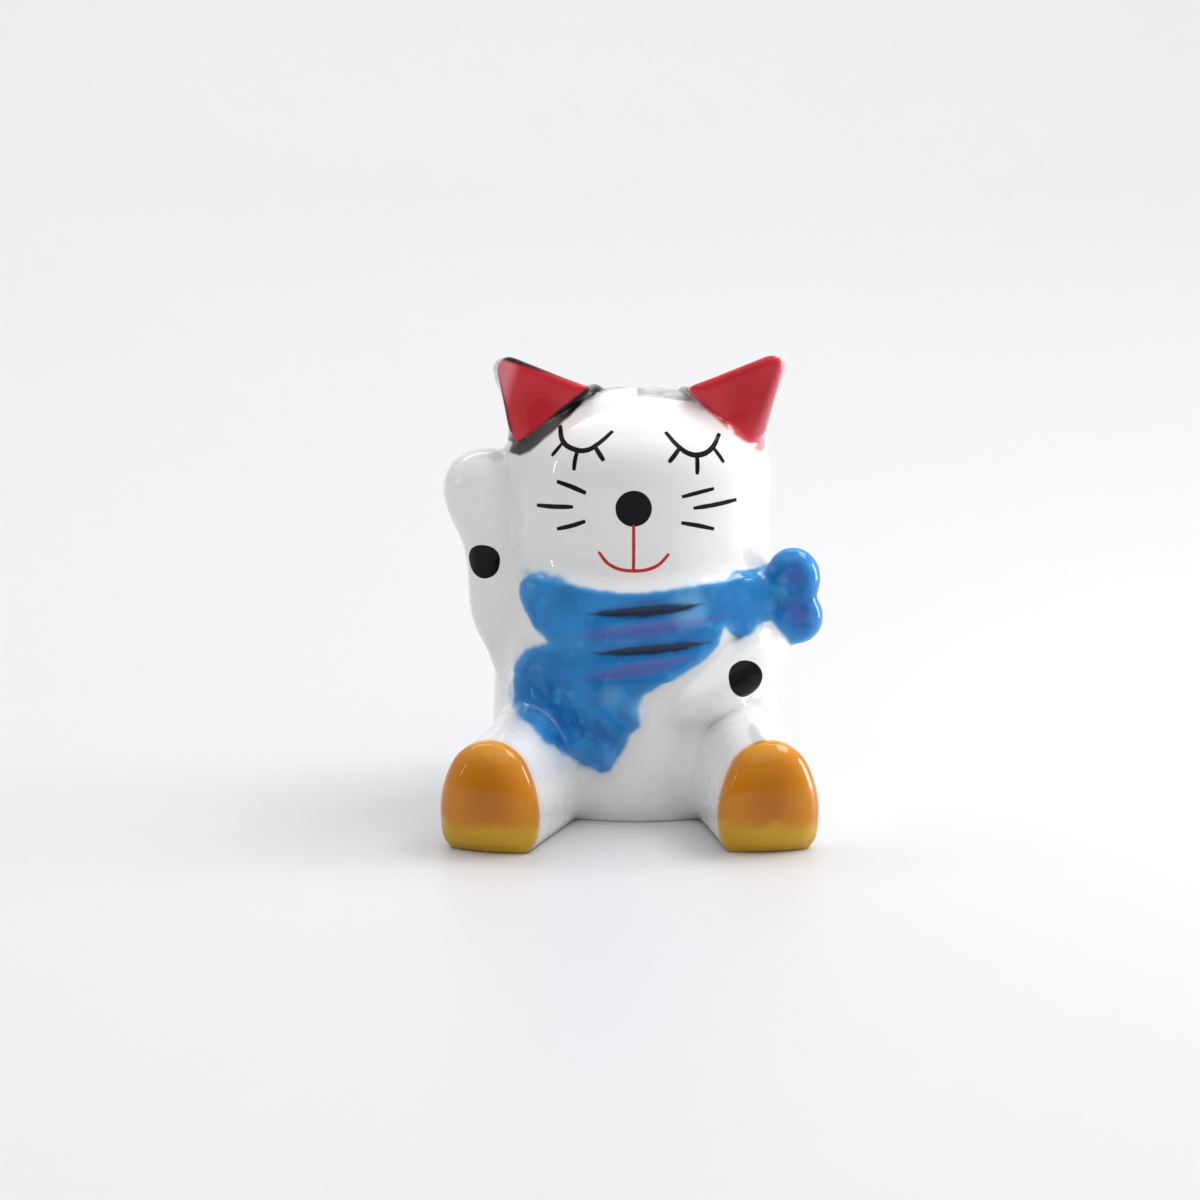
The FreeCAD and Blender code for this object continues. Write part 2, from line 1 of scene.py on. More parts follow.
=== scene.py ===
# %% [markdown]
# # A glazed ceramic cat
# This lesson dresses a small seated cat, cast and luted in porcelain, in its fired glaze. The CAD
# model gives every piece its place. Here the pieces are joined under one continuous skin of glaze,
# as they are in the kiln, and the skin is then shared out again, so that each piece of the cat has
# its own shell and its own finish. Lengths in the tables are millimetres.

# %% Load the frame
import math
import bpy
import numpy as np
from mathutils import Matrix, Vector
from mathutils.bvhtree import BVHTree


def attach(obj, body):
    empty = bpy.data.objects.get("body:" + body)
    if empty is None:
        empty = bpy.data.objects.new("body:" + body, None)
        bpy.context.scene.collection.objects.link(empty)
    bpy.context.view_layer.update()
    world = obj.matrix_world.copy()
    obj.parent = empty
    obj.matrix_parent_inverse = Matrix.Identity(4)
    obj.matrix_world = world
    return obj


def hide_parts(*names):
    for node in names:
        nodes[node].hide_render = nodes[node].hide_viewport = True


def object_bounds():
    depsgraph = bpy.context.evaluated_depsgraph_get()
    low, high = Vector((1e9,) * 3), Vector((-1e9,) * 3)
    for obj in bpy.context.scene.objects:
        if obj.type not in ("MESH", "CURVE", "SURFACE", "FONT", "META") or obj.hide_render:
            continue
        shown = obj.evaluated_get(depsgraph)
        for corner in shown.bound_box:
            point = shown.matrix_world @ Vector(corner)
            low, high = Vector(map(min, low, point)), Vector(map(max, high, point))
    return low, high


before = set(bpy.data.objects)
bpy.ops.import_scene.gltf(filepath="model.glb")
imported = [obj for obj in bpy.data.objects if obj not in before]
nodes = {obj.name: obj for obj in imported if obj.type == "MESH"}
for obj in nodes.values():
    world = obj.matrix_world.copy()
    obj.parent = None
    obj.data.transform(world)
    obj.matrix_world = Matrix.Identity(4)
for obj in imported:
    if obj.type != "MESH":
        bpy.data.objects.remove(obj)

MM = 0.001
cad_low, cad_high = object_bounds()
print("nodes:", len(nodes))

# %% [markdown]
# ## The table, the light and the camera
# The figure is small, so it is seen through a long lens from a little above. A sweep, which is a
# floor that curves up behind, has no horizon. The sky is soft and grows brighter upwards, to the
# right and behind. A window high on the right and a wide panel overhead are what the glaze mirrors:
# on a glossy thing the lights are part of the look. Two narrow cards edge the cat's sides, and one
# more panel lights only the wall of the sweep.

# %% Camera
CAMERA_AIM = Vector((-3.0, 0.0, 16.69)) * MM
CAMERA_REACH = 300 * MM
CAMERA_RISE = math.radians(11)
scene = bpy.context.scene
camera = bpy.data.objects.new("camera", bpy.data.cameras.new("camera"))
scene.collection.objects.link(camera)
camera.data.lens = 108
camera.data.sensor_width = 36
camera.data.clip_start = 0.01
camera.location = CAMERA_AIM + Vector((0, -math.cos(CAMERA_RISE), math.sin(CAMERA_RISE))) * CAMERA_REACH
camera.rotation_euler = (math.pi / 2 - CAMERA_RISE, 0, 0)
scene.camera = camera
scene.view_settings.view_transform = "Standard"
print("camera at", tuple(round(v, 4) for v in camera.location))

# %% Sweep
SWEEP_HALF = 1.6         # metres, as all of the sweep's sizes are
SWEEP_FRONT = 1.5
SWEEP_BACK = 1.1
SWEEP_TOP = 1.6
SWEEP_BEND = 0.5
SWEEP_STEPS = 24


def sweep_mesh():
    """A floor that curves up into a wall behind the cat."""
    profile = [(-SWEEP_FRONT, 0.0), (SWEEP_BACK - SWEEP_BEND, 0.0)]
    for step in range(1, SWEEP_STEPS + 1):
        angle = math.radians(90) * step / SWEEP_STEPS
        profile.append((SWEEP_BACK - SWEEP_BEND + SWEEP_BEND * math.sin(angle),
                        SWEEP_BEND * (1 - math.cos(angle))))
    profile.append((SWEEP_BACK, SWEEP_TOP))
    points = [(x, y, z) for x in (-SWEEP_HALF, SWEEP_HALF) for y, z in profile]
    count = len(profile)
    faces = [(count + i, count + i + 1, i + 1, i) for i in range(count - 1)]
    mesh = bpy.data.meshes.new("sweep")
    mesh.from_pydata(points, [], faces)
    mesh.polygons.foreach_set("use_smooth", [True] * len(faces))
    return mesh


sweep = bpy.data.objects.new("sweep", sweep_mesh())
scene.collection.objects.link(sweep)

# %% Lights
world = bpy.data.worlds.new("studio")
scene.world = world
world.use_nodes = True
sky = world.node_tree
facing = sky.nodes.new("ShaderNodeSeparateXYZ")
sky.links.new(sky.nodes.new("ShaderNodeTexCoord").outputs["Generated"], facing.inputs[0])


def sky_step(value, low, high, share):
    """A share of light that grows as one part of a direction goes from low to high."""
    step = sky.nodes.new("ShaderNodeMapRange")
    step.interpolation_type = "SMOOTHSTEP"
    sky.links.new(value, step.inputs["Value"])
    step.inputs["From Min"].default_value = low
    step.inputs["From Max"].default_value = high
    step.inputs["To Min"].default_value = 0
    step.inputs["To Max"].default_value = share
    return step.outputs[0]


def sky_sum(first, second):
    """Two shares of light, or a share and a plain value, added."""
    node = sky.nodes.new("ShaderNodeMath")
    for socket, value in zip(node.inputs, (first, second)):
        if isinstance(value, bpy.types.NodeSocket):
            sky.links.new(value, socket)
        else:
            socket.default_value = value
    return node.outputs[0]


from_above = sky_step(facing.outputs["Z"], -0.1, 0.9, 0.44)
from_right = sky_step(facing.outputs["X"], -0.9, 0.9, 0.32)
from_behind = sky_step(facing.outputs["Y"], -0.9, 0.3, 0.34)
backdrop = sky.nodes["Background"]
backdrop.inputs["Color"].default_value = (0.985, 0.985, 1.0, 1)
strength = sky_sum(sky_sum(from_above, from_right), sky_sum(from_behind, 0.11))
sky.links.new(strength, backdrop.inputs["Strength"])


def panel(name, aim, azimuth, rise, reach, width, height, power):
    """A rectangular light that faces a point of the cat; azimuth 0 is the camera's side, 90 its right."""
    light = bpy.data.objects.new(name, bpy.data.lights.new(name, "AREA"))
    scene.collection.objects.link(light)
    light.data.shape = "RECTANGLE"
    light.data.size = width
    light.data.size_y = height
    light.data.energy = power
    turn, lift = math.radians(azimuth), math.radians(rise)
    away = Vector((math.sin(turn) * math.cos(lift), -math.cos(turn) * math.cos(lift), math.sin(lift)))
    light.location = Vector(aim) * MM + away * reach
    light.rotation_euler = (-away).to_track_quat("-Z", "Y").to_euler()


panel("upper_window", (0, 0, 26), 107, 57, 0.50, 0.30, 0.17, 0.95)
panel("side_card", (0, 0, 40), 98, 0, 0.15, 0.036, 0.080, 0.10)
panel("overhead", (0, 0, 18), 0, 62, 1.6, 1.6, 1.3, 4.0)
panel("left_strip", (0, 0, 24), -70, 14, 0.60, 0.012, 0.16, 0.06)
panel("backdrop_wash", (0, 1050, 300), 0, 60, 0.9, 1.8, 0.5, 9.0)

# %% [markdown]
# ## One skin of glaze
# Luted joints are filled with slip and then flooded with glaze, so no crease of the assembly is
# left sharp. A boolean union would keep every crease. A voxel remesh makes one closed surface of
# all the solids, and a relaxation that only fills hollows then lays a fillet in each joint while
# it leaves the outer sizes alone.

# %% The cat's solids as arrays
SCARF = ["scarf_wrap", "scarf_drape", "scarf_knot", "scarf_upper_loop", "scarf_lower_loop"]
SOLES = ["right_sole", "left_sole"]
PALE = ["head_and_torso", "raised_arm", "resting_arm", "tail", "right_leg", "left_leg",
        "right_ear", "left_ear"]


def solid_arrays(name):
    """Points in millimetres and triangles of a CAD node."""
    mesh = nodes[name].data
    points = np.empty(len(mesh.vertices) * 3)
    mesh.vertices.foreach_get("co", points)
    mesh.calc_loop_triangles()
    triangles = np.empty(len(mesh.loop_triangles) * 3, np.int32)
    mesh.loop_triangles.foreach_get("vertices", triangles)
    return points.reshape(-1, 3) / MM, triangles.reshape(-1, 3)


def joined(names):
    """Several nodes as one set of points and triangles."""
    points, triangles, start = [], [], 0
    for name in names:
        own_points, own_triangles = solid_arrays(name)
        points.append(own_points)
        triangles.append(own_triangles + start)
        start += len(own_points)
    return np.vstack(points), np.vstack(triangles)


def tree_of(names):
    """A search tree over the surfaces of some nodes."""
    points, triangles = joined(names)
    return BVHTree.FromPolygons(points.tolist(), triangles.tolist())


# %% Plug the vent and remesh
VOXEL = 0.24
VENT_RADIUS = 1.5
VENT_BACK = 4.5          # vent's middle behind the body's axis
PLUG_TOP = 2.4           # past the inside of the 2 mm base
PLUG_OVERSIZE = 0.15
PLUG_SIDES = 32


def plug_arrays():
    """A short bar that closes the vent while the skin is made."""
    sides, radius = PLUG_SIDES, VENT_RADIUS + PLUG_OVERSIZE
    turns = [2 * math.pi * i / sides for i in range(sides)]
    points = [(radius * math.cos(t), VENT_BACK + radius * math.sin(t), z)
              for z in (0.0, PLUG_TOP) for t in turns]
    points += [(0, VENT_BACK, 0.0), (0, VENT_BACK, PLUG_TOP)]
    triangles = []
    for i in range(sides):
        j = (i + 1) % sides
        triangles += [(i, j, sides + j), (i, sides + j, sides + i), (j, i, 2 * sides),
                      (sides + i, sides + j, 2 * sides + 1)]
    return np.array(points), np.array(triangles)


def remeshed(points, triangles, voxel):
    """A closed quad surface round everything given."""
    mesh = bpy.data.meshes.new("solids")
    mesh.from_pydata(points.tolist(), [], triangles.tolist())
    holder = bpy.data.objects.new("solids", mesh)
    scene.collection.objects.link(holder)
    remesh = holder.modifiers.new("remesh", "REMESH")
    remesh.mode = "VOXEL"
    remesh.voxel_size = voxel
    remesh.use_smooth_shade = True
    graph = bpy.context.evaluated_depsgraph_get()
    made = bpy.data.meshes.new_from_object(holder.evaluated_get(graph))
    bpy.data.objects.remove(holder)
    bpy.data.meshes.remove(mesh)
    return made


body_points, body_triangles = joined(PALE + SOLES + SCARF)
plug_points, plug_triangles = plug_arrays()
skin_mesh = remeshed(np.vstack([body_points, plug_points]),
                     np.vstack([body_triangles, plug_triangles + len(body_points)]), VOXEL)
print("skin:", len(skin_mesh.vertices), "points,", len(skin_mesh.polygons), "faces")

# %% [markdown]
# ### Pool the glaze
# The skin is worked on as arrays, because a rule for so many points is quicker said once. A point
# that lies in a hollow sees the middle of its neighbours outside the surface; moving it there,
# along its normal only, is what pools the glaze. The pools are deepest round the ears, where the
# real ones are.

# %% Array tools
skin_points = np.empty(len(skin_mesh.vertices) * 3)
skin_mesh.vertices.foreach_get("co", skin_points)
skin_points = skin_points.reshape(-1, 3)
corners = np.empty(len(skin_mesh.loops), np.int32)
skin_mesh.loops.foreach_get("vertex_index", corners)
starts = np.empty(len(skin_mesh.polygons), np.int32)
skin_mesh.polygons.foreach_get("loop_start", starts)
counts = np.diff(np.append(starts, len(corners)))
assert (counts == 4).all(), "the skin has only quads"
quads = corners.reshape(-1, 4)
pairs = np.vstack([quads[:, [i, (i + 1) % 4]] for i in range(4)])
pairs = np.unique(np.sort(pairs, axis=1), axis=0)
valence = np.bincount(pairs.ravel(), minlength=len(skin_points))[:, None]


def neighbour_mean(values):
    """The mean of each point's neighbours."""
    total = np.empty_like(values)
    for axis in range(values.shape[1]):
        column = values[:, axis]
        total[:, axis] = (np.bincount(pairs[:, 0], column[pairs[:, 1]], len(values))
                          + np.bincount(pairs[:, 1], column[pairs[:, 0]], len(values)))
    return total / valence


def point_normals(points):
    """Outward normals at the points, from the quads' diagonals."""
    across = np.cross(points[quads[:, 2]] - points[quads[:, 0]], points[quads[:, 3]] - points[quads[:, 1]])
    total = np.empty_like(points)
    for axis in range(3):
        total[:, axis] = sum(np.bincount(quads[:, i], across[:, axis], len(points)) for i in range(4))
    return total / np.linalg.norm(total, axis=1, keepdims=True)


# %% Pool the glaze in the joints
EASE_ROUNDS = 14
POOL_ROUNDS = 60         # everywhere
DEEP_ROUNDS = 260        # round the ears
EARS_FROM = 28           # height at which the deeper pools begin
NORMALS_EVERY = 4        # rounds between two readings of the normals
FLOOR_BAND = (0.08, 0.30)
EAR_FRONT_Y = -4.3
EAR_THICKNESS = 4.5
EAR_SLOPE = 0.28         # fall of an ear's top towards the back
original = skin_points.copy()


def evened(points, rounds):
    """Takes out small bumps and dents; every second step pushes back, so nothing shrinks."""
    for turn in range(rounds):
        for step in (0.55, -0.57):
            points = points + step * (neighbour_mean(points) - points)
    return points


skin_points = evened(skin_points, EASE_ROUNDS)
deep_pools = np.clip((original[:, 2:] - EARS_FROM) / 2, 0, 1)
for turn in range(DEEP_ROUNDS):
    if turn % NORMALS_EVERY == 0:
        normals = point_normals(skin_points)
    lift = np.sum((neighbour_mean(skin_points) - skin_points) * normals, axis=1, keepdims=True)
    share = 0.9 if turn < POOL_ROUNDS else 0.9 * deep_pools
    skin_points += share * normals * np.maximum(lift, 0)
for turn in range(3):
    skin_points += 0.5 * (neighbour_mean(skin_points) - skin_points)
skin_points = evened(skin_points, EASE_ROUNDS)
skin_points[:, 2] *= np.clip((skin_points[:, 2] - FLOOR_BAND[0]) / FLOOR_BAND[1], 0, 1)
low, high = np.array(cad_low) / MM, np.array(cad_high) / MM
skin_points = np.clip(skin_points, low, high)
pooled = np.linalg.norm(skin_points - original, axis=1)
behind_rim = np.clip(skin_points[:, 1] - EAR_FRONT_Y, 0, EAR_THICKNESS)
on_ears = np.clip((skin_points[:, 2] - 33.8) / 2.2, 0, 1)
on_ears *= np.clip((np.abs(skin_points[:, 0]) - 3) / 1.5, 0, 1)
skin_points[:, 2] -= EAR_SLOPE * behind_rim * on_ears
normals = point_normals(skin_points)
print("deepest fillet, mm:", round(float(pooled.max()), 2))

# %% [markdown]
# ## Share the skin out
# Each point belongs to the CAD piece that is nearest. The distances are kept too, because a painted
# edge that is stored as a signed distance stays smooth when the mesh under it isn't.

# %% Distances to every piece
PIECES = PALE + SOLES + SCARF
FAR = 6.0
REACH = 2.5


def distances(tree, points, reach):
    """Distance from each point to a tree's surface, or the reach where it is farther."""
    found = np.full(len(points), reach)
    for here, point in enumerate(points.tolist()):
        hit = tree.find_nearest(point, reach)
        if hit[3] is not None:
            found[here] = hit[3]
    return found


near = {}
for name in PIECES:
    own, _ = solid_arrays(name)
    inside = np.all((skin_points > own.min(0) - REACH) & (skin_points < own.max(0) + REACH), axis=1)
    near[name] = np.full(len(skin_points), FAR)
    near[name][inside] = distances(tree_of([name]), skin_points[inside], REACH)
table = np.stack([near[name] for name in PIECES])
for turn in range(3):
    table = np.stack([0.5 * row + 0.5 * neighbour_mean(row[:, None])[:, 0] for row in table])
face_table = table[:, quads].mean(axis=2)
owner = face_table.argmin(axis=0)
LININGS = {"right_ear": "right_ear_lining", "left_ear": "left_ear_lining"}


def nearest_of(names):
    """Distance to the nearest of several pieces."""
    return np.min([table[PIECES.index(name)] for name in names], axis=0)


relief_edge = nearest_of(PALE + SOLES) - nearest_of(SCARF)
sole_edge = nearest_of(PALE + SCARF) - nearest_of(SOLES)
print("faces per piece:", {name: int((owner == i).sum()) for i, name in enumerate(PIECES)})


# %% [markdown]
# ### Where each colour ends
# The colours are brushed by hand and don't stop where the pieces do: the blue leaves a rim of the
# scarf bare, and one ear has a black rim and a black patch behind it. An outline in the plane seen
# from the front gives each painted edge, and the back follows the relief.

# %% Painted edges of the ears
RED_FIELDS = [[(-11.5, 37.5), (-4.0, 35.15), (-9.9, 30.5)], [(4.0, 35.2), (12.3, 38.5), (10.2, 30.2)]]
BLACK_FRONT = [(-13.5, 32.9), (-13.5, 39.5), (-11.0, 39.5), (-2.6, 36.3), (-1.1, 35.4), (-1.1, 34.72),
               (-3.2, 34.72), (-6.3, 32.1), (-8.7, 30.0), (-9.5, 29.5), (-10.5, 29.6), (-10.2, 30.4),
               (-11.3, 33.3)]
BACK_PATCH = ((-7.4, 4.6, 34.2), (7.2, 7.6, 6.6))     # middle and half sizes
LEFT_RED_GROWTH = 0.45
EAR_FOOT = 30.5
RED_DEPTH = {"left": 3.4, "right": 1.0}               # how far the red runs back from the ear's front


def outline_distance(points, outline):
    """Signed distance to a closed outline in the plane seen from the front, positive inside."""
    across, up = points[:, 0], points[:, 2]
    nearest = np.full(len(points), 1e9)
    inside = np.zeros(len(points), bool)
    for (ax, az), (bx, bz) in zip(outline, outline[1:] + outline[:1]):
        along = ((across - ax) * (bx - ax) + (up - az) * (bz - az)) / ((bx - ax) ** 2 + (bz - az) ** 2)
        along = np.clip(along, 0, 1)
        nearest = np.minimum(nearest, np.hypot(across - ax - along * (bx - ax), up - az - along * (bz - az)))
        crossing = (az > up) != (bz > up)
        with np.errstate(divide="ignore", invalid="ignore"):
            crossing &= across < (bx - ax) * (up - az) / (bz - az) + ax
        inside ^= crossing
    return np.where(inside, nearest, -nearest)


# %% Painted edge of the scarf
SCARF_OUTLINE = [(-9.75, 18.4), (-9.6, 19.5), (-8.9, 20.25), (-7.6, 20.4), (-6.2, 20.15), (-4.9, 19.8),
                 (-3.4, 19.6), (-0.2, 19.45), (2.0, 19.6), (4.25, 19.85), (8.0, 20.1), (13.0, 20.3),
                 (13.0, 16.3), (8.2, 16.6), (7.1, 16.0), (6.6, 14.7), (5.1, 13.4), (3.4, 12.4), (2.0, 11.5),
                 (0.55, 10.6), (0.15, 9.6), (0.3, 8.1), (-0.5, 7.4), (-1.0, 6.5), (-1.6, 5.3), (-2.1, 4.35),
                 (-3.0, 4.1), (-3.9, 4.7), (-5.0, 5.2), (-6.2, 6.2), (-7.5, 7.0), (-8.4, 8.2), (-9.57, 9.0),
                 (-10.35, 10.05), (-10.3, 11.6), (-9.9, 12.9), (-9.0, 14.1), (-8.0, 14.7), (-7.3, 14.95),
                 (-7.6, 15.4), (-8.5, 15.9), (-9.2, 17.1)]
CHEST_Y = -9.6
LAP_TOP = 12             # under this height the hem lies on the leg, ahead of the chest
depth = skin_points[:, 1]
apparent = skin_points.copy()
apparent[:, 2] += (depth - CHEST_Y) * math.tan(CAMERA_RISE) * (skin_points[:, 2] < LAP_TOP)
front_edge = outline_distance(apparent, SCARF_OUTLINE)
to_front = np.clip((-depth - 2.0) / 1.5, 0, 1) * np.clip((8.2 - skin_points[:, 0]) / 1.0, 0, 1)
scarf_edge = front_edge * to_front + np.clip(relief_edge, -1.5, 1.5) * (1 - to_front)

# %% Signed distance to the red and to the black
red_edge = np.maximum(outline_distance(skin_points, RED_FIELDS[0]),
                      outline_distance(skin_points, RED_FIELDS[1]) + LEFT_RED_GROWTH)
red_back = EAR_FRONT_Y + np.where(skin_points[:, 0] > 0, RED_DEPTH["left"], RED_DEPTH["right"])
red_edge = np.minimum(red_edge, (red_back - depth) * 0.5)
front_black = np.minimum(outline_distance(skin_points, BLACK_FRONT), 1.5 - depth)
patch_middle, patch_size = np.array(BACK_PATCH[0]), np.array(BACK_PATCH[1])
back_black = 5.0 * (1 - np.linalg.norm((skin_points - patch_middle) / patch_size, axis=1))
ear_behind = np.minimum(table[PIECES.index("head_and_torso")] - 0.2, 4.0) * (skin_points[:, 0] < 0)
back_black = np.minimum(back_black, depth + 1.0)
on_ear = np.minimum(ear_behind, depth + 3.2)
back_black = np.maximum(back_black, np.where(skin_points[:, 2] > EAR_FOOT, on_ear, -3))
black_edge = np.maximum(front_black, back_black)

# %% [markdown]
# ### Folds pressed into the scarf
# The scarf's folds are shallow grooves that the maker pressed and then brushed with a darker
# colour. They are real relief, because a groove bends the highlight as paint can't. Before they are
# pressed, the scarf's relief is smoothed away where it stands clear of the paint.

# %% Fold grooves
FOLDS = [((-4.2, 17.55), (5.4, 18.2)), ((-4.4, 15.8), (6.3, 17.0)), ((-3.8, 14.35), (6.0, 15.1)),
         ((-4.2, 12.4), (4.6, 13.95)), ((-9.0, 12.6), (-5.4, 6.6)), ((-7.6, 13.4), (-3.4, 5.6)),
         ((-5.6, 12.6), (-1.9, 5.6)), ((-3.8, 11.0), (-0.6, 8.2))]
FOLD_DEPTH = [0.2, 0.12, 0.22, 0.12, 0.1, 0.12, 0.12, 0.1]
FOLD_HALF_WIDTH = 0.5


def fold_profile(points, start, end):
    """1 in the middle of a fold line, falling to 0 at its ends and sides."""
    dx, dz = end[0] - start[0], end[1] - start[1]
    length = math.hypot(dx, dz)
    along = ((points[:, 0] - start[0]) * dx + (points[:, 2] - start[1]) * dz) / length ** 2
    off = np.abs((points[:, 0] - start[0]) * dz - (points[:, 2] - start[1]) * dx) / length
    return np.exp(-(off / FOLD_HALF_WIDTH) ** 2) * np.clip(4 * along * (1 - along), 0, 1)


# %% Smooth the relief away outside the painted edge
SMOOTH_ROUNDS = 70
SPREAD_ROUNDS = 6
outside = np.clip((relief_edge + 0.4) / 0.5, 0, 1) * np.clip((-front_edge - 0.15) / 0.5, 0, 1) * to_front
clear_of_arms = np.clip((nearest_of(["raised_arm", "resting_arm"]) - 0.6) / 0.8, 0, 1)
outside *= np.clip(table[PIECES.index("head_and_torso")], 0, 1.1) * clear_of_arms
for turn in range(SPREAD_ROUNDS):
    outside = 0.5 * outside + 0.5 * neighbour_mean(outside[:, None])[:, 0]
skin_points -= normals * outside[:, None]
unpainted = np.clip((relief_edge + 0.9) / 0.5, 0, 1) * np.clip(-front_edge / 0.4, 0, 1) * to_front
for turn in range(SMOOTH_ROUNDS):
    if turn < SPREAD_ROUNDS:
        unpainted = 0.5 * unpainted + 0.5 * neighbour_mean(unpainted[:, None])[:, 0]
    skin_points += 0.5 * unpainted[:, None] * (neighbour_mean(skin_points) - skin_points)
normals = point_normals(skin_points)

# %% Press the folds
on_scarf = np.clip((relief_edge - 0.1) / 0.8, 0, 1) * (depth < 0)
for (start, end), deep in zip(FOLDS, FOLD_DEPTH):
    skin_points -= normals * (deep * fold_profile(skin_points, start, end) * on_scarf)[:, None]
normals = point_normals(skin_points)

# %% [markdown]
# ### Round the soles
# A sole is a pad that was pinched at its rim before it was luted on, so its front is domed.

# %% Dome of each sole
SOLE_FRONTS = {"right_sole": (-12.4, -17.0), "left_sole": (10.7, 9.0)}   # middle of the front, turn
SOLE_AHEAD = -20.1
SOLE_MIDDLE = 4.2        # height
DOME_REACH = (3.9, 4.6)  # half width, half height
DOME_BACK = 1.1
DOME_DEPTH = 3.0         # the dome fades out this far behind the front
for name, (middle, turn) in SOLE_FRONTS.items():
    facing_x, facing_y = math.sin(math.radians(turn)), -math.cos(math.radians(turn))
    from_middle = skin_points[:, :2] - (middle, SOLE_AHEAD)
    behind_front = -(from_middle @ (facing_x, facing_y))
    sideways = from_middle @ (-facing_y, facing_x)
    spread = (sideways / DOME_REACH[0]) ** 2 + ((skin_points[:, 2] - SOLE_MIDDLE) / DOME_REACH[1]) ** 2
    own_side = (np.abs(sideways) < 6) & (behind_front < DOME_DEPTH) & (skin_points[:, 2] < 10)
    shift = DOME_BACK * np.clip(spread, 0, 1.2) * np.clip(1 - behind_front / DOME_DEPTH, 0, 1) * own_side
    skin_points[:, :2] -= shift[:, None] * np.array([[facing_x, facing_y]])
normals = point_normals(skin_points)

# %% [markdown]
# ## The shells
# A patch of the skin becomes a closed shell: the patch, the same patch set back along its normals,
# and a rim between them. Neighbours share their border points and their normals, so the glaze runs
# over the seam without a line, as it does on the real cat.

# %% One shell for each piece
SETBACK = {"head_and_torso": 1.6}
PLAIN_SETBACK = 0.6
LINING_SETBACK = 0.3
EDGE_VALUES = {"scarf_edge": scarf_edge, "sole_edge": sole_edge, "red_edge": red_edge,
               "black_edge": black_edge}


def open_vent():
    """The faces that close the vent, with the points round it moved onto its circle."""
    middle = skin_points[:, :2] - (0, VENT_BACK)
    radius = np.hypot(middle[:, 0], middle[:, 1])
    near_rim = (skin_points[:, 2] < 0.01) & (np.abs(radius - VENT_RADIUS) < 0.6 * VOXEL)
    skin_points[near_rim, :2] = middle[near_rim] / radius[near_rim, None] * VENT_RADIUS + (0, VENT_BACK)
    centre = skin_points[quads].mean(axis=1)
    return (centre[:, 2] < 0.01) & (np.hypot(centre[:, 0], centre[:, 1] - VENT_BACK) < VENT_RADIUS)


def shell(name, chosen, setback):
    """A closed object from the chosen quads of the skin."""
    patch = quads[chosen]
    used, local = np.unique(patch, return_inverse=True)
    local = local.reshape(-1, 4)
    outer = skin_points[used]
    inner = outer - normals[used] * setback
    edges = np.vstack([local[:, [i, (i + 1) % 4]] for i in range(4)])
    keys = np.sort(edges, axis=1) @ np.array([len(used), 1])
    _, first, count = np.unique(keys, return_index=True, return_counts=True)
    rim = edges[first[count == 1]]
    rim_quads = np.column_stack([rim[:, 1], rim[:, 0], rim[:, 0] + len(used), rim[:, 1] + len(used)])
    faces = np.vstack([local, local[:, ::-1] + len(used), rim_quads])
    points = np.vstack([outer, inner]) * MM
    mesh = bpy.data.meshes.new(name)
    mesh.vertices.add(len(points))
    mesh.vertices.foreach_set("co", points.ravel())
    mesh.loops.add(faces.size)
    mesh.loops.foreach_set("vertex_index", faces.ravel())
    mesh.polygons.add(len(faces))
    mesh.polygons.foreach_set("loop_start", np.arange(0, faces.size, 4))
    mesh.update(calc_edges=True)
    for label, values in EDGE_VALUES.items():
        attribute = mesh.attributes.new(label, "FLOAT", "POINT")
        attribute.data.foreach_set("value", np.tile(values[used], 2).astype(np.float32))
    flat = np.cross(points[rim_quads[:, 2]] - points[rim_quads[:, 0]],
                    points[rim_quads[:, 3]] - points[rim_quads[:, 1]])
    flat /= np.maximum(np.linalg.norm(flat, axis=1, keepdims=True), 1e-12)
    own = normals[used]
    mesh.normals_split_custom_set(np.vstack([own[local].reshape(-1, 3), -own[local[:, ::-1]].reshape(-1, 3),
                                             np.repeat(flat, 4, axis=0)]).tolist())
    made = bpy.data.objects.new(name, mesh)
    scene.collection.objects.link(made)
    return made


vent_faces = open_vent()
in_lining = red_edge[quads].mean(axis=1) > 0
shells = {}
for number, name in enumerate(PIECES):
    chosen = (owner == number) & ~vent_faces
    if name in LININGS:
        shells[LININGS[name]] = shell(f"{LININGS[name]}_glaze", chosen & in_lining, LINING_SETBACK)
        chosen &= ~in_lining
    shells[name] = shell(f"{name}_glaze", chosen, SETBACK.get(name, PLAIN_SETBACK))
for name, piece in shells.items():
    print(f"{name}_glaze: {len(piece.data.polygons)} faces")

# %% [markdown]
# ## Brush strokes
# Eyes, whiskers and mouth are transfers: thin fired films that lie on the face. Each is a line that
# follows a curved surface, which is what Geometry Nodes are good at. The tree drops a drawn line
# onto the skin, gives it a brush's width, and then presses the tube flat along the skin's normals.

# %% A target for the strokes
target_mesh = bpy.data.meshes.new("skin_target")
target_mesh.from_pydata((skin_points * MM).tolist(), [], quads.tolist())
smooth = target_mesh.attributes.new("glaze_normal", "FLOAT_VECTOR", "POINT")
smooth.data.foreach_set("vector", normals.astype(np.float32).ravel())
skin_target = bpy.data.objects.new("skin_target", target_mesh)
scene.collection.objects.link(skin_target)


# %% Tree helpers
def new_tree(name, inputs):
    """An empty geometry tree with named inputs, given as name: (socket type, default)."""
    tree = bpy.data.node_groups.new(name, "GeometryNodeTree")
    tree.interface.new_socket("Geometry", in_out="INPUT", socket_type="NodeSocketGeometry")
    for label, (kind, default) in inputs.items():
        socket = tree.interface.new_socket(label, in_out="INPUT", socket_type=f"NodeSocket{kind}")
        if default is not None:
            socket.default_value = default
    tree.interface.new_socket("Geometry", in_out="OUTPUT", socket_type="NodeSocketGeometry")
    return tree


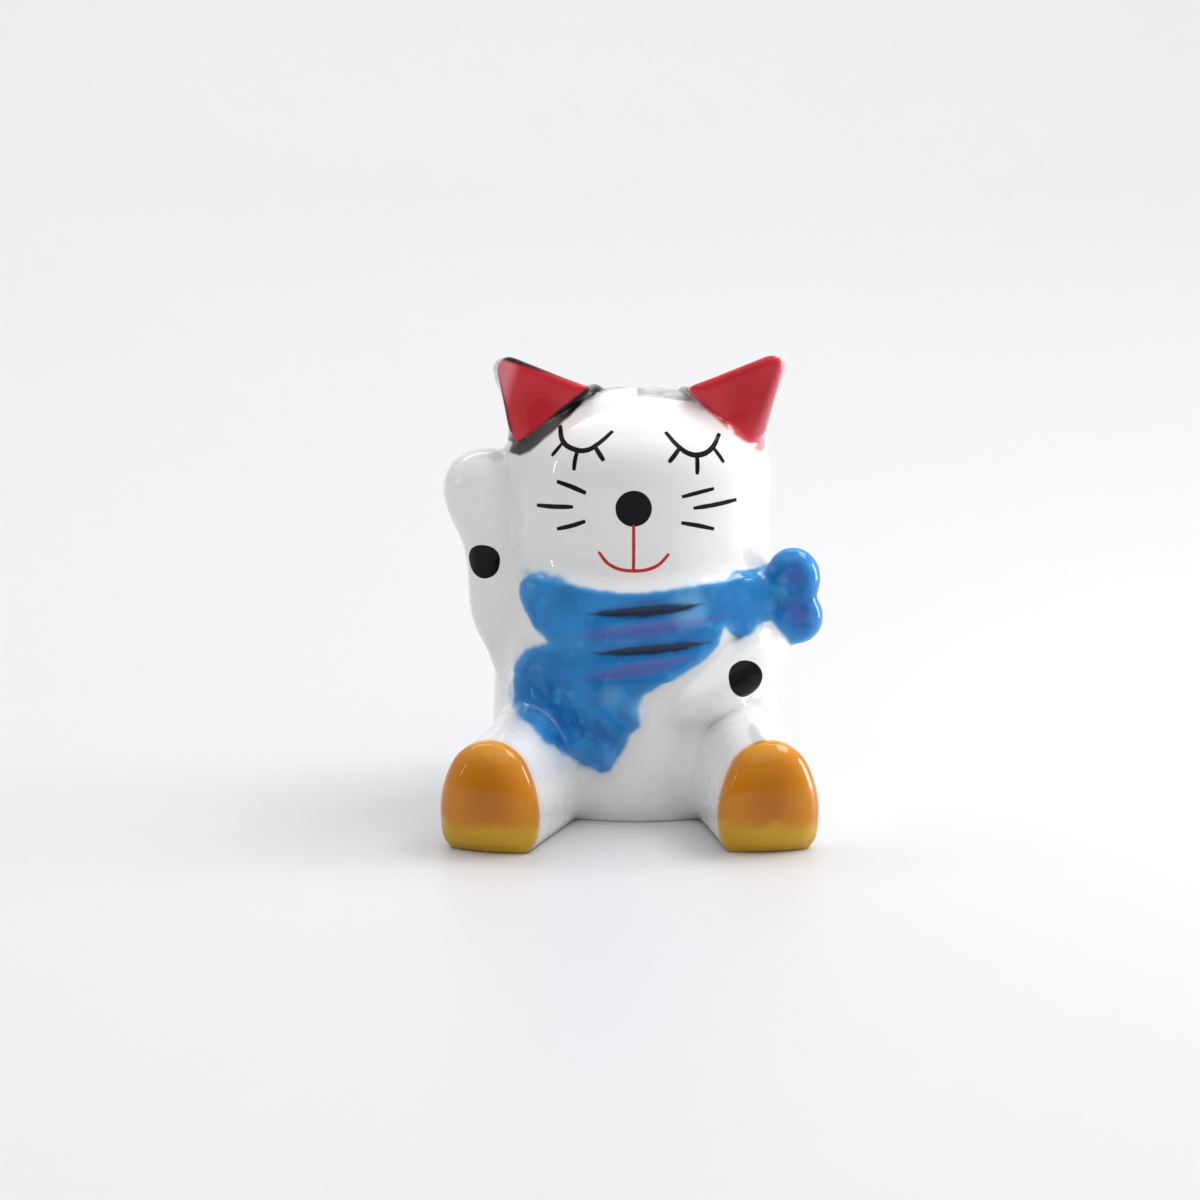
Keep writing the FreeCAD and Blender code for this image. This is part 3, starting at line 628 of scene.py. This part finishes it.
def put(tree, kind, inputs=None, **settings):
    """A node with its settings and inputs; an input is a value or another node's output."""
    node = tree.nodes.new(kind)
    for key, value in settings.items():
        setattr(node, key, value)
    for key, value in (inputs or {}).items():
        socket = node.inputs[key]
        if isinstance(value, bpy.types.NodeSocket):
            tree.links.new(value, socket)
        else:
            socket.default_value = value
    return node


def math_of(tree, operation, a, b=0.0):
    """One sum, product or comparison."""
    return put(tree, "ShaderNodeMath", {0: a, 1: b}, operation=operation).outputs[0]


def vector_of(tree, operation, a, b=(0, 0, 0), scale=1.0):
    """One vector sum, product, length or distance."""
    node = put(tree, "ShaderNodeVectorMath", {0: a, 1: b}, operation=operation)
    if operation == "SCALE":
        socket = node.inputs["Scale"]
        if isinstance(scale, bpy.types.NodeSocket):
            tree.links.new(scale, socket)
        else:
            socket.default_value = scale
    return node.outputs["Value" if operation in ("DOT_PRODUCT", "LENGTH", "DISTANCE") else "Vector"]


FILM_LIFT = 0.000008     # metres between the glaze and the underside of a film


def pressed_flat(tree, geometry, target, flatness):
    """Moves every point so that its height over the target shrinks to a share of itself."""
    position = put(tree, "GeometryNodeInputPosition").outputs[0]
    foot = put(tree, "GeometryNodeProximity", {0: target, "Sample Position": position},
               target_element="FACES").outputs["Position"]
    named = put(tree, "GeometryNodeInputNamedAttribute", {"Name": "glaze_normal"}, data_type="FLOAT_VECTOR")
    sampled = put(tree, "GeometryNodeSampleNearestSurface", {"Mesh": target, "Sample Position": position},
                  data_type="FLOAT_VECTOR")
    tree.links.new(named.outputs["Attribute"], sampled.inputs["Value"])
    normal = vector_of(tree, "NORMALIZE", sampled.outputs["Value"])
    height = vector_of(tree, "DOT_PRODUCT", vector_of(tree, "SUBTRACT", position, foot), normal)
    pressed = math_of(tree, "ADD", math_of(tree, "MULTIPLY", height, flatness), FILM_LIFT)
    lifted = vector_of(tree, "SCALE", normal, scale=pressed)
    return put(tree, "GeometryNodeSetPosition", {"Geometry": geometry,
                                                 "Position": vector_of(tree, "ADD", foot, lifted)}).outputs[0]


def finished(tree, geometry, group_in):
    """The end of every tree: realized, smooth, with its material."""
    realized = put(tree, "GeometryNodeRealizeInstances", {"Geometry": geometry}).outputs[0]
    smoothed = put(tree, "GeometryNodeSetShadeSmooth", {"Geometry": realized}).outputs[0]
    painted = put(tree, "GeometryNodeSetMaterial", {"Geometry": smoothed,
                                                    "Material": group_in.outputs["Material"]}).outputs[0]
    put(tree, "NodeGroupOutput", {"Geometry": painted})


# %% The brush stroke tree
STROKE_INPUTS = {"Skin": ("Object", None), "Width": ("Float", 0.00036), "Flatness": ("Float", 0.14),
                 "Taper": ("Float", 0.45), "Unevenness": ("Float", 0.2), "Seed": ("Float", 0.0),
                 "Material": ("Material", None)}


def stroke_tree():
    """Drops each given line onto the skin and presses it into a thin stroke."""
    tree = new_tree("laid_stroke", STROKE_INPUTS)
    given = put(tree, "NodeGroupInput")
    skin = put(tree, "GeometryNodeObjectInfo", {"Object": given.outputs["Skin"]},
               transform_space="RELATIVE").outputs["Geometry"]
    line = put(tree, "GeometryNodeResampleCurve", {"Curve": given.outputs["Geometry"],
                                                   "Count": 40}).outputs["Curve"]
    ray = put(tree, "GeometryNodeRaycast", {"Target Geometry": skin, "Ray Direction": (0, 1, 0),
                                            "Ray Length": 0.05})
    dropped = put(tree, "GeometryNodeSetPosition", {"Geometry": line,
                                                    "Position": ray.outputs["Hit Position"]}).outputs[0]
    share = put(tree, "GeometryNodeSplineParameter").outputs["Factor"]
    centred = math_of(tree, "ABSOLUTE", math_of(tree, "SUBTRACT", math_of(tree, "MULTIPLY", share, 2.0), 1.0))
    drop = math_of(tree, "MULTIPLY", math_of(tree, "POWER", centred, 3.0), given.outputs["Taper"])
    noise = put(tree, "ShaderNodeTexNoise", {"Scale": 900.0, "Detail": 1.0, "W": given.outputs["Seed"]},
                noise_dimensions="4D").outputs[0]
    uneven = math_of(tree, "MULTIPLY", math_of(tree, "SUBTRACT", noise, 0.5), given.outputs["Unevenness"])
    swell = math_of(tree, "ADD", math_of(tree, "SUBTRACT", 1.0, drop), uneven)
    own = put(tree, "GeometryNodeInputRadius").outputs[0]
    half = math_of(tree, "MULTIPLY", math_of(tree, "MULTIPLY", given.outputs["Width"], 0.5), swell)
    radius = math_of(tree, "MULTIPLY", half, own)
    sized = put(tree, "GeometryNodeSetCurveRadius", {"Curve": dropped, "Radius": radius}).outputs[0]
    ring = put(tree, "GeometryNodeCurvePrimitiveCircle", {"Resolution": 14, "Radius": 1.0}).outputs["Curve"]
    tube_node = put(tree, "GeometryNodeCurveToMesh", {"Curve": sized, "Profile Curve": ring,
                                                      "Fill Caps": True})
    if "Scale" in tube_node.inputs:
        radius = put(tree, "GeometryNodeInputRadius").outputs[0]
        tree.links.new(radius, tube_node.inputs["Scale"])
    finished(tree, pressed_flat(tree, tube_node.outputs[0], skin, given.outputs["Flatness"]), given)
    return tree


# %% The dab tree
DAB_INPUTS = {"Skin": ("Object", None), "Radius": ("Float", 0.00145), "Flatness": ("Float", 0.03),
              "Wobble": ("Float", 0.00005), "Seed": ("Float", 0.0), "Material": ("Material", None)}


def dab_tree():
    """Drops a ball at each given point onto the skin and presses it into a thin round dab."""
    tree = new_tree("laid_dab", DAB_INPUTS)
    given = put(tree, "NodeGroupInput")
    skin = put(tree, "GeometryNodeObjectInfo", {"Object": given.outputs["Skin"]},
               transform_space="RELATIVE").outputs["Geometry"]
    ray = put(tree, "GeometryNodeRaycast", {"Target Geometry": skin, "Ray Direction": (0, 1, 0),
                                            "Ray Length": 0.05})
    dropped = put(tree, "GeometryNodeSetPosition", {"Geometry": given.outputs["Geometry"],
                                                    "Position": ray.outputs["Hit Position"]}).outputs[0]
    ball = put(tree, "GeometryNodeMeshIcoSphere", {"Radius": given.outputs["Radius"],
                                                   "Subdivisions": 5}).outputs["Mesh"]
    balls = put(tree, "GeometryNodeInstanceOnPoints", {"Points": dropped, "Instance": ball}).outputs[0]
    real = put(tree, "GeometryNodeRealizeInstances", {"Geometry": balls}).outputs[0]
    noise = put(tree, "ShaderNodeTexNoise", {"Scale": 420.0, "Detail": 2.0, "W": given.outputs["Seed"]},
                noise_dimensions="4D").outputs["Color"]
    shaken = vector_of(tree, "SCALE", vector_of(tree, "SUBTRACT", noise, (0.5, 0.5, 0.5)),
                       scale=given.outputs["Wobble"])
    moved = put(tree, "GeometryNodeSetPosition", {"Geometry": real, "Offset": shaken}).outputs[0]
    finished(tree, pressed_flat(tree, moved, skin, given.outputs["Flatness"]), given)
    return tree


# %% [markdown]
# ## The glazes
# All the colours are under one clear glaze, so one node group mixes the paint, and every finish
# uses it: porcelain white first, then the blue that bleeds a little past the scarf's edge, the
# amber that runs back from the soles, and the red and black of the ears. The group reads the
# signed distances that the points carry and the place of each point, so it works on any piece.

# %% Colour helpers


def paint(code):
    """A colour written as six hex digits, in the linear values that shaders use."""
    values = [int(code[i:i + 2], 16) / 255 for i in (0, 2, 4)]
    return (*(v / 12.92 if v <= 0.04045 else ((v + 0.055) / 1.055) ** 2.4 for v in values), 1.0)


def stepped(tree, value, low, high):
    """0 below low, 1 above high, and a soft step between."""
    return put(tree, "ShaderNodeMapRange", {"Value": value, "From Min": low, "From Max": high},
               interpolation_type="SMOOTHSTEP").outputs[0]


def mixed(tree, share, first, second):
    """Two colours mixed by a share."""
    node = put(tree, "ShaderNodeMix", data_type="RGBA")
    for index, value in ((0, share), (6, first), (7, second)):
        if isinstance(value, bpy.types.NodeSocket):
            tree.links.new(value, node.inputs[index])
        else:
            node.inputs[index].default_value = value
    return node.outputs[2]


def cloud(tree, place, scale, detail=2.0, shift=0.0, stretch=(1, 1, 1)):
    """Soft noise from 0 to 1 in millimetres, moved by a shift so that two clouds differ."""
    moved = put(tree, "ShaderNodeMapping", {"Vector": place, "Location": (shift, shift, shift),
                                            "Scale": stretch}).outputs[0]
    return put(tree, "ShaderNodeTexNoise", {"Vector": moved, "Scale": scale, "Detail": detail}).outputs[0]


def edge_of(tree, label):
    """A signed distance that the points carry."""
    return put(tree, "ShaderNodeAttribute", attribute_name=label).outputs["Fac"]


def times(tree, a, b):
    return math_of(tree, "MULTIPLY", a, b)


# %% A brushed line in the shader


def brushed(tree, across, up, start, end, half_width, softness):
    """A lens-shaped stroke between two places in the plane seen from the front."""
    dx, dz = end[0] - start[0], end[1] - start[1]
    length = math.hypot(dx, dz)
    right = math_of(tree, "SUBTRACT", across, start[0])
    rise = math_of(tree, "SUBTRACT", up, start[1])
    along = math_of(tree, "ADD", times(tree, right, dx / length ** 2), times(tree, rise, dz / length ** 2))
    off = math_of(tree, "ABSOLUTE", math_of(tree, "SUBTRACT", times(tree, right, dz / length),
                                            times(tree, rise, dx / length)))
    lens = times(tree, times(tree, along, math_of(tree, "SUBTRACT", 1.0, along)), 4 * half_width)
    gap = math_of(tree, "SUBTRACT", lens, off)
    return stepped(tree, gap, -softness, softness)


def round_spot(tree, place, centre, radius, softness):
    """1 within a radius of a place and 0 outside it."""
    gap = vector_of(tree, "DISTANCE", place, centre)
    return stepped(tree, math_of(tree, "SUBTRACT", radius, gap), -softness, softness)


# %% The scarf's blue
BRUSHED_NAVY = [((-3.9, 17.55), (5.2, 18.2), 0.46, 0.16), ((-3.6, 14.35), (5.8, 15.1), 0.40, 0.15)]
BRUSHED_PURPLE = [((-4.6, 15.7), (6.6, 17.1), 0.62, 0.5), ((-4.2, 12.3), (4.6, 14.0), 0.55, 0.45)]
LOOP_PURPLE = [((12.95, -6.0, 20.0), 0.95), ((13.2, -6.0, 16.7), 1.25)]
PALE_PATCHES = [((3.9, -9.5, 18.0), 1.5), ((-1.9, -10.5, 10.9), 0.75), ((0.0, -10.5, 9.9), 0.85)]


def blue_glaze_colour(tree, place, across, up, scarf, front):
    """Mottled blue with paler pools, a darker hem, and the folds brushed on the front."""
    broad = stepped(tree, cloud(tree, place, 0.30, 3.0, 4.0), 0.36, 0.64)
    blue = mixed(tree, broad, paint("0a70b4"), paint("1f86cc"))
    hem = stepped(tree, up, 13.0, 6.5)
    patch = stepped(tree, cloud(tree, place, 0.62, 3.0, 9.0), 0.44, 0.60)
    blue = mixed(tree, times(tree, times(tree, hem, patch), 0.85), blue, paint("0a58a6"))
    pale = stepped(tree, cloud(tree, place, 0.5, 2.0, 17.0), 0.56, 0.72)
    blue = mixed(tree, times(tree, pale, 0.45), blue, paint("5aa9e0"))
    for (start, end, half, soft) in BRUSHED_PURPLE:
        purple = times(tree, brushed(tree, across, up, start, end, half, soft), 0.7)
        blue = mixed(tree, times(tree, purple, front), blue, paint("5a55a6"))
    for centre, radius in LOOP_PURPLE:
        blue = mixed(tree, times(tree, round_spot(tree, place, centre, radius, 0.9), 0.6), blue,
                     paint("3d48a6"))
    for centre, radius in PALE_PATCHES:
        blue = mixed(tree, times(tree, round_spot(tree, place, centre, radius, 0.9), 0.55), blue,
                     paint("8cc4ea"))
    ragged = math_of(tree, "ADD", up, times(tree, math_of(tree, "SUBTRACT", cloud(
        tree, place, 2.2, 3.0, 2.0, (0.35, 1, 1)), 0.5), 0.45))
    for (start, end, half, soft) in BRUSHED_NAVY:
        halo = times(tree, brushed(tree, across, ragged, start, end, half * 1.8, soft * 2.2), 0.5)
        blue = mixed(tree, times(tree, halo, front), blue, paint("1a4f9a"))
        dark = times(tree, brushed(tree, across, ragged, start, end, half, soft), 0.92)
        blue = mixed(tree, times(tree, dark, front), blue, paint("062030"))
    thin = stepped(tree, scarf, 0.85, -0.1)
    return mixed(tree, times(tree, thin, 0.42), blue, paint("6db3e6"))


# %% The soles' amber


def amber_glaze_colour(tree, place, across, up, sole):
    """Honey over a darker core, paler at the bottom with a painted reflection of the table, and lighter at
    the top with a painted highlight.
    """
    amber = mixed(tree, cloud(tree, place, 0.35, 2.0, 31.0), paint("c47400"), paint("cc8204"))
    for side in (-11.9, 10.4):
        centred = put(tree, "ShaderNodeCombineXYZ", {
            "X": math_of(tree, "SUBTRACT", across, side), "Y": 0.0,
            "Z": times(tree, math_of(tree, "SUBTRACT", up, 4.6), 0.8)}).outputs[0]
        heart = stepped(tree, vector_of(tree, "LENGTH", centred), 2.9, 0.4)
        amber = mixed(tree, times(tree, heart, 0.5), amber, paint("9c5200"))
    # Painted reflection: the lower part of each sole is paler, standing in for the white table mirrored in
    # the glaze.
    line = math_of(tree, "ADD", up, times(tree, math_of(tree, "SUBTRACT", cloud(
        tree, place, 0.45, 2.0, 12.0), 0.5), 2.2))
    foot = stepped(tree, line, 3.1, 1.7)
    amber = mixed(tree, times(tree, foot, 0.8), amber, paint("cda41e"))
    # Painted highlight: the top edge of each sole is lighter, standing in for the window's reflection.
    painted_top_highlight = stepped(tree, up, 7.4, 8.8)
    return mixed(tree, times(tree, painted_top_highlight, 0.55), amber, paint("dc9d12"))


# %% The ears' red and black


def red_glaze_colour(tree, place, across, up):
    """Crimson that thins to pink along the outer edge."""
    red = mixed(tree, cloud(tree, place, 0.4, 2.0, 51.0), paint("c81e2c"), paint("d0323e"))
    for centre, radius in (((-8.0, -4.3, 33.4), 1.7), ((9.2, -4.3, 34.6), 2.0)):
        deep = times(tree, round_spot(tree, place, centre, radius, 1.3), 0.8)
        red = mixed(tree, deep, red, paint("b81a26"))
    leaning = times(tree, math_of(tree, "SUBTRACT", 34, up), 0.28)
    left_out = stepped(tree, math_of(tree, "ADD", across, leaning), -10.1, -11.2)
    right_out = stepped(tree, math_of(tree, "SUBTRACT", across, times(tree, math_of(
        tree, "SUBTRACT", up, 34), 0.35)), 10.2, 11.3)
    streak = math_of(tree, "MAXIMUM", left_out, right_out)
    return mixed(tree, times(tree, streak, 0.62), red, paint("f09aa4"))


# %% The paint group


def paint_group():
    """Every colour of the cat, mixed in the order in which the maker lays them."""
    tree = bpy.data.node_groups.new("cat_paint", "ShaderNodeTree")
    tree.interface.new_socket("Color", in_out="OUTPUT", socket_type="NodeSocketColor")
    raw = put(tree, "ShaderNodeTexCoord").outputs["Object"]
    place = vector_of(tree, "SCALE", raw, scale=1000.0)
    parts = put(tree, "ShaderNodeSeparateXYZ", {"Vector": place}).outputs
    across, back, up = parts[0], parts[1], parts[2]
    white = mixed(tree, cloud(tree, place, 0.12, 2.0, 3.0), paint("e9e9e6"), paint("f0efee"))
    wobble = times(tree, math_of(tree, "SUBTRACT", cloud(tree, place, 0.7, 1.0, 5.0), 0.5), 0.5)
    scarf = math_of(tree, "ADD", edge_of(tree, "scarf_edge"), wobble)
    sole = math_of(tree, "ADD", edge_of(tree, "sole_edge"), times(tree, wobble, 0.6))
    colour = mixed(tree, times(tree, stepped(tree, scarf, -0.9, 0.1), 0.30), white, paint("a9cdea"))
    tan = stepped(tree, sole, -1.7, -0.1)
    colour = mixed(tree, times(tree, tan, 0.55), colour, paint("e0b690"))
    blue = blue_glaze_colour(tree, place, across, up, scarf, stepped(tree, back, -3.0, -6.0))
    colour = mixed(tree, stepped(tree, scarf, -0.28, 0.22), colour, blue)
    amber = amber_glaze_colour(tree, place, across, up, sole)
    colour = mixed(tree, stepped(tree, sole, -0.25, 0.1), colour, amber)
    black = math_of(tree, "ADD", edge_of(tree, "black_edge"), times(tree, wobble, 0.4))
    soot = mixed(tree, cloud(tree, place, 0.8, 2.0, 8.0), paint("040303"), paint("130d0c"))
    colour = mixed(tree, stepped(tree, black, -0.12, 0.14), colour, soot)
    red = math_of(tree, "ADD", edge_of(tree, "red_edge"), times(tree, wobble, 0.35))
    colour = mixed(tree, stepped(tree, red, -0.22, 0.14), colour, red_glaze_colour(tree, place, across, up))
    put(tree, "NodeGroupOutput", {"Color": colour})
    return tree


cat_paint = paint_group()


# %% [markdown]
# A fired glaze is a clear, very smooth layer over a slightly rougher body, which is what the coat
# of the principled shader is for. The bump is slight and broad, because glaze levels itself: it
# bends the long reflections a little and never looks grainy.

# %% Finishes
PEEL_SCALE = 0.55
PEEL_HEIGHT = 0.000022


def glazed(name, roughness, coat_roughness, peel, specular, coat_ior):
    """A glazed finish; its colour comes from the paint group."""
    material = bpy.data.materials.new(name)
    material.use_nodes = True
    tree = material.node_tree
    shader = tree.nodes["Principled BSDF"]
    group = tree.nodes.new("ShaderNodeGroup")
    group.node_tree = cat_paint
    tree.links.new(group.outputs["Color"], shader.inputs["Base Color"])
    place = vector_of(tree, "SCALE", put(tree, "ShaderNodeTexCoord").outputs["Object"], scale=1000.0)
    ripple = cloud(tree, place, PEEL_SCALE, 2.0, 21.0)
    bump = put(tree, "ShaderNodeBump", {"Strength": peel, "Distance": PEEL_HEIGHT, "Height": ripple})
    tree.links.new(bump.outputs[0], shader.inputs["Normal"])
    rough = put(tree, "ShaderNodeMapRange", {"Value": cloud(tree, place, 0.9, 3.0, 60.0), "To Min": roughness,
                                             "To Max": roughness * 1.6}).outputs[0]
    tree.links.new(rough, shader.inputs["Roughness"])
    shader.inputs["IOR"].default_value = 1.5
    shader.inputs["Specular IOR Level"].default_value = specular
    shader.inputs["Coat Weight"].default_value = 1.0
    shader.inputs["Coat Roughness"].default_value = coat_roughness
    shader.inputs["Coat IOR"].default_value = coat_ior
    return material


white_glaze = glazed("white_porcelain_glaze", 0.22, 0.02, 0.8, 0.3, 1.55)
blue_glaze = glazed("blue_scarf_glaze", 0.18, 0.02, 1.0, 0.05, 1.38)
amber_glaze = glazed("amber_sole_glaze", 0.2, 0.03, 0.9, 0.05, 1.4)
red_glaze = glazed("red_ear_glaze", 0.2, 0.02, 0.8, 0.05, 1.38)
dark_glaze = glazed("black_ear_glaze", 0.2, 0.02, 0.8, 0.05, 1.25)


def ink(name, dark, light, roughness):
    """A thin fired transfer, with a little unevenness in its colour."""
    material = bpy.data.materials.new(name)
    material.use_nodes = True
    tree = material.node_tree
    shader = tree.nodes["Principled BSDF"]
    place = vector_of(tree, "SCALE", put(tree, "ShaderNodeTexCoord").outputs["Object"], scale=1000.0)
    tree.links.new(mixed(tree, stepped(tree, cloud(tree, place, 1.6, 3.0, 90.0), 0.3, 0.7), paint(dark),
                         paint(light)), shader.inputs["Base Color"])
    rough = put(tree, "ShaderNodeMapRange", {"Value": cloud(tree, place, 2.4, 2.0, 33.0),
                                             "To Min": roughness, "To Max": roughness * 1.7}).outputs[0]
    tree.links.new(rough, shader.inputs["Roughness"])
    shader.inputs["Specular IOR Level"].default_value = 0.05
    shader.inputs["Coat Weight"].default_value = 0.6
    shader.inputs["Coat Roughness"].default_value = 0.02
    shader.inputs["Coat IOR"].default_value = 1.3
    return material


black_ink = ink("black_transfer_ink", "020203", "0a0a10", 0.3)
red_ink = ink("red_transfer_ink", "b8242b", "cf3a3c", 0.3)


# %% Table finish


def table_finish():
    """A pale satin table top with very slight clouding."""
    material = bpy.data.materials.new("pale_table")
    material.use_nodes = True
    tree = material.node_tree
    shader = tree.nodes["Principled BSDF"]
    place = put(tree, "ShaderNodeTexCoord").outputs["Object"]
    colour = mixed(tree, put(tree, "ShaderNodeTexNoise", {"Vector": place, "Scale": 5.0}).outputs[0],
                   paint("cfcfd1"), paint("d3d3d4"))
    tree.links.new(colour, shader.inputs["Base Color"])
    shader.inputs["Roughness"].default_value = 0.42
    shader.inputs["Specular IOR Level"].default_value = 0.35
    return material


sweep.data.materials.append(table_finish())

# %% [markdown]
# ### Dress the shells
# Each shell gets its finish, and takes the place of its own CAD piece. The ear with the black rim
# mirrors a little less than the white pieces, so that its black stays black.

# %% Dress the shells
FINISH = {"scarf": (blue_glaze, "blue_glaze"), "sole": (amber_glaze, "amber_glaze"),
          "lining": (red_glaze, "red_glaze"), "pale": (white_glaze, "white_glaze")}
for name, piece in shells.items():
    kind = ("scarf" if name in SCARF else "sole" if name in SOLES
            else "lining" if name in LININGS.values() else "pale")
    material, slot = FINISH[kind]
    piece.data.materials.append(dark_glaze if name == "right_ear" else material)
    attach(piece, "root")
    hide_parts(name)

# %% [markdown]
# ### Draw the face
# Each line is a few points through which a smooth curve passes. The second number of a line is how
# thick it is beside the stroke's full width, since lashes are finer than the lid.

# %% Lines of the face
FACE_LINES = {
    "right_eye_transfer": [([(-6.24, 32.15), (-5.97, 31.06), (-5.04, 30.57), (-4.06, 30.57), (-3.2, 31.05),
                             (-1.98, 32.01)], 1.0),
                           ([(-6.0, 31.0), (-6.42, 30.5), (-6.9, 29.92)], 0.85),
                           ([(-4.8, 30.55), (-5.0, 29.8), (-5.1, 28.96)], 0.85),
                           ([(-3.4, 30.85), (-3.05, 30.35), (-2.7, 29.83)], 0.9)],
    "left_eye_transfer": [([(2.27, 31.94), (3.26, 30.92), (3.99, 30.39), (4.86, 30.16), (5.86, 30.46),
                            (6.67, 31.56)], 1.0),
                          ([(3.36, 30.72), (2.95, 30.2), (2.52, 29.71)], 0.85),
                          ([(4.8, 30.15), (4.83, 29.4), (4.81, 28.67)], 0.85),
                          ([(6.15, 30.6), (6.6, 30.0), (6.99, 29.41)], 0.85)],
    "right_whiskers_transfer": [([(-6.46, 27.97), (-5.3, 27.65), (-4.12, 27.21)], 1.0),
                                ([(-8.1, 25.82), (-6.6, 25.9), (-5.17, 26.02)], 0.95),
                                ([(-6.47, 24.08), (-5.3, 24.45), (-4.18, 24.91)], 0.9)],
    "left_whiskers_transfer": [([(3.58, 26.93), (4.9, 27.2), (6.18, 27.43)], 0.85),
                               ([(4.51, 25.95), (6.3, 26.1), (8.04, 26.3)], 0.95),
                               ([(3.53, 24.82), (4.9, 24.5), (6.2, 24.11)], 0.9)],
    "mouth_transfer": [([(-3.12, 22.46), (-2.2, 21.45), (-0.31, 21.0), (1.6, 21.4), (2.55, 22.32)], 1.0),
                       ([(-0.31, 24.75), (-0.29, 22.9), (-0.31, 21.0)], 1.0)],
}
LINE_WIDTH = {"right_eye_transfer": 0.44, "left_eye_transfer": 0.44, "right_whiskers_transfer": 0.40,
              "left_whiskers_transfer": 0.40, "mouth_transfer": 0.27}
AHEAD = -30.0


def drawn(name, lines):
    """Smooth lines in front of the cat, as one curve object."""
    curve = bpy.data.curves.new(name, "CURVE")
    curve.dimensions = "3D"
    for points, thickness in lines:
        spline = curve.splines.new("BEZIER")
        spline.bezier_points.add(len(points) - 1)
        for knot, (x, z) in zip(spline.bezier_points, points):
            knot.co = Vector((x, AHEAD, z)) * MM
            knot.handle_left_type = knot.handle_right_type = "AUTO"
            knot.radius = thickness
    made = bpy.data.objects.new(name, curve)
    scene.collection.objects.link(made)
    return made


def grown(source, tree, name, **values):
    """Runs a geometry tree on an object and keeps the result as a plain mesh."""
    modifier = source.modifiers.new("grow", "NODES")
    modifier.node_group = tree
    sockets = {item.name: item.identifier for item in tree.interface.items_tree
               if item.item_type == "SOCKET" and item.in_out == "INPUT"}
    for label, value in values.items():
        modifier[sockets[label]] = value
    graph = bpy.context.evaluated_depsgraph_get()
    mesh = bpy.data.meshes.new_from_object(source.evaluated_get(graph))
    bpy.data.objects.remove(source)
    mesh.name = name
    made = bpy.data.objects.new(name, mesh)
    scene.collection.objects.link(made)
    return made


# %% Lay the lines on the face
laid_stroke = stroke_tree()
films = {}
for seed, (name, lines) in enumerate(FACE_LINES.items()):
    material = red_ink if name == "mouth_transfer" else black_ink
    taper = 0.1 if name == "mouth_transfer" else 0.28
    films[name] = grown(drawn(f"{name}_lines", lines), laid_stroke, f"{name}_film", Skin=skin_target,
                        Width=LINE_WIDTH[name] * MM, Flatness=0.14, Taper=taper, Unevenness=0.25,
                        Seed=float(seed), Material=material)
    print(name, "film:", len(films[name].data.polygons), "faces")

# %% [markdown]
# ### Lay the nose and the spots
# A round transfer is a ball dropped onto the glaze and pressed nearly flat, with a slight wobble in
# its outline. Each has its place, its radius, its flatness and its wobble.

# %% Lay the dabs
DABS = {"nose_transfer": ((-0.3, 26.05), 1.47, 0.02, 0.10),
        "raised_arm_spot": ((-12.6, 20.65), 1.42, 0.02, 0.2),
        "resting_arm_spot": ((8.85, 12.1), 1.5, 0.02, 0.12)}
laid_dab = dab_tree()
for seed, (name, ((x, z), radius, flatness, wobble)) in enumerate(DABS.items()):
    point_mesh = bpy.data.meshes.new(f"{name}_place")
    point_mesh.from_pydata([(x * MM, AHEAD * MM, z * MM)], [], [])
    place = bpy.data.objects.new(f"{name}_place", point_mesh)
    scene.collection.objects.link(place)
    films[name] = grown(place, laid_dab, f"{name}_film", Skin=skin_target, Radius=radius * MM,
                        Flatness=flatness, Wobble=wobble * MM, Seed=float(seed), Material=black_ink)
    print(name, "film:", len(films[name].data.polygons), "faces")
bpy.data.objects.remove(skin_target)

# %% [markdown]
# ### Finish the films
# A film is far thinner than it is wide, so its highlight is the glaze's own. It takes its normals
# from the skin under it.

# %% Let the films shine as the glaze does
skin_tree = BVHTree.FromPolygons(skin_points.tolist(), quads.tolist())


def shine_as_skin(mesh):
    """Gives a film the skin's own normals, so that a highlight crosses its edge unbroken."""
    found = []
    for vertex in mesh.vertices:
        spot = vertex.co / MM
        _, _, face, _ = skin_tree.find_nearest(spot)
        ring = quads[face]
        closeness = 1 / (np.linalg.norm(skin_points[ring] - np.array(spot), axis=1) + 1e-4)
        found.append(Vector((normals[ring] * closeness[:, None]).sum(axis=0)).normalized())
    mesh.normals_split_custom_set_from_vertices(found)


# %% Hand the films over
for name, film in films.items():
    shine_as_skin(film.data)
    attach(film, "root")
    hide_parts(name)

# %% [markdown]
# ## Measure and finish
# The glaze must not make the cat bigger than its CAD model, so the CAD box is written down.

# %% Write the CAD box
print("CAD box", [round(v / MM, 2) for v in (*cad_low, *cad_high)])
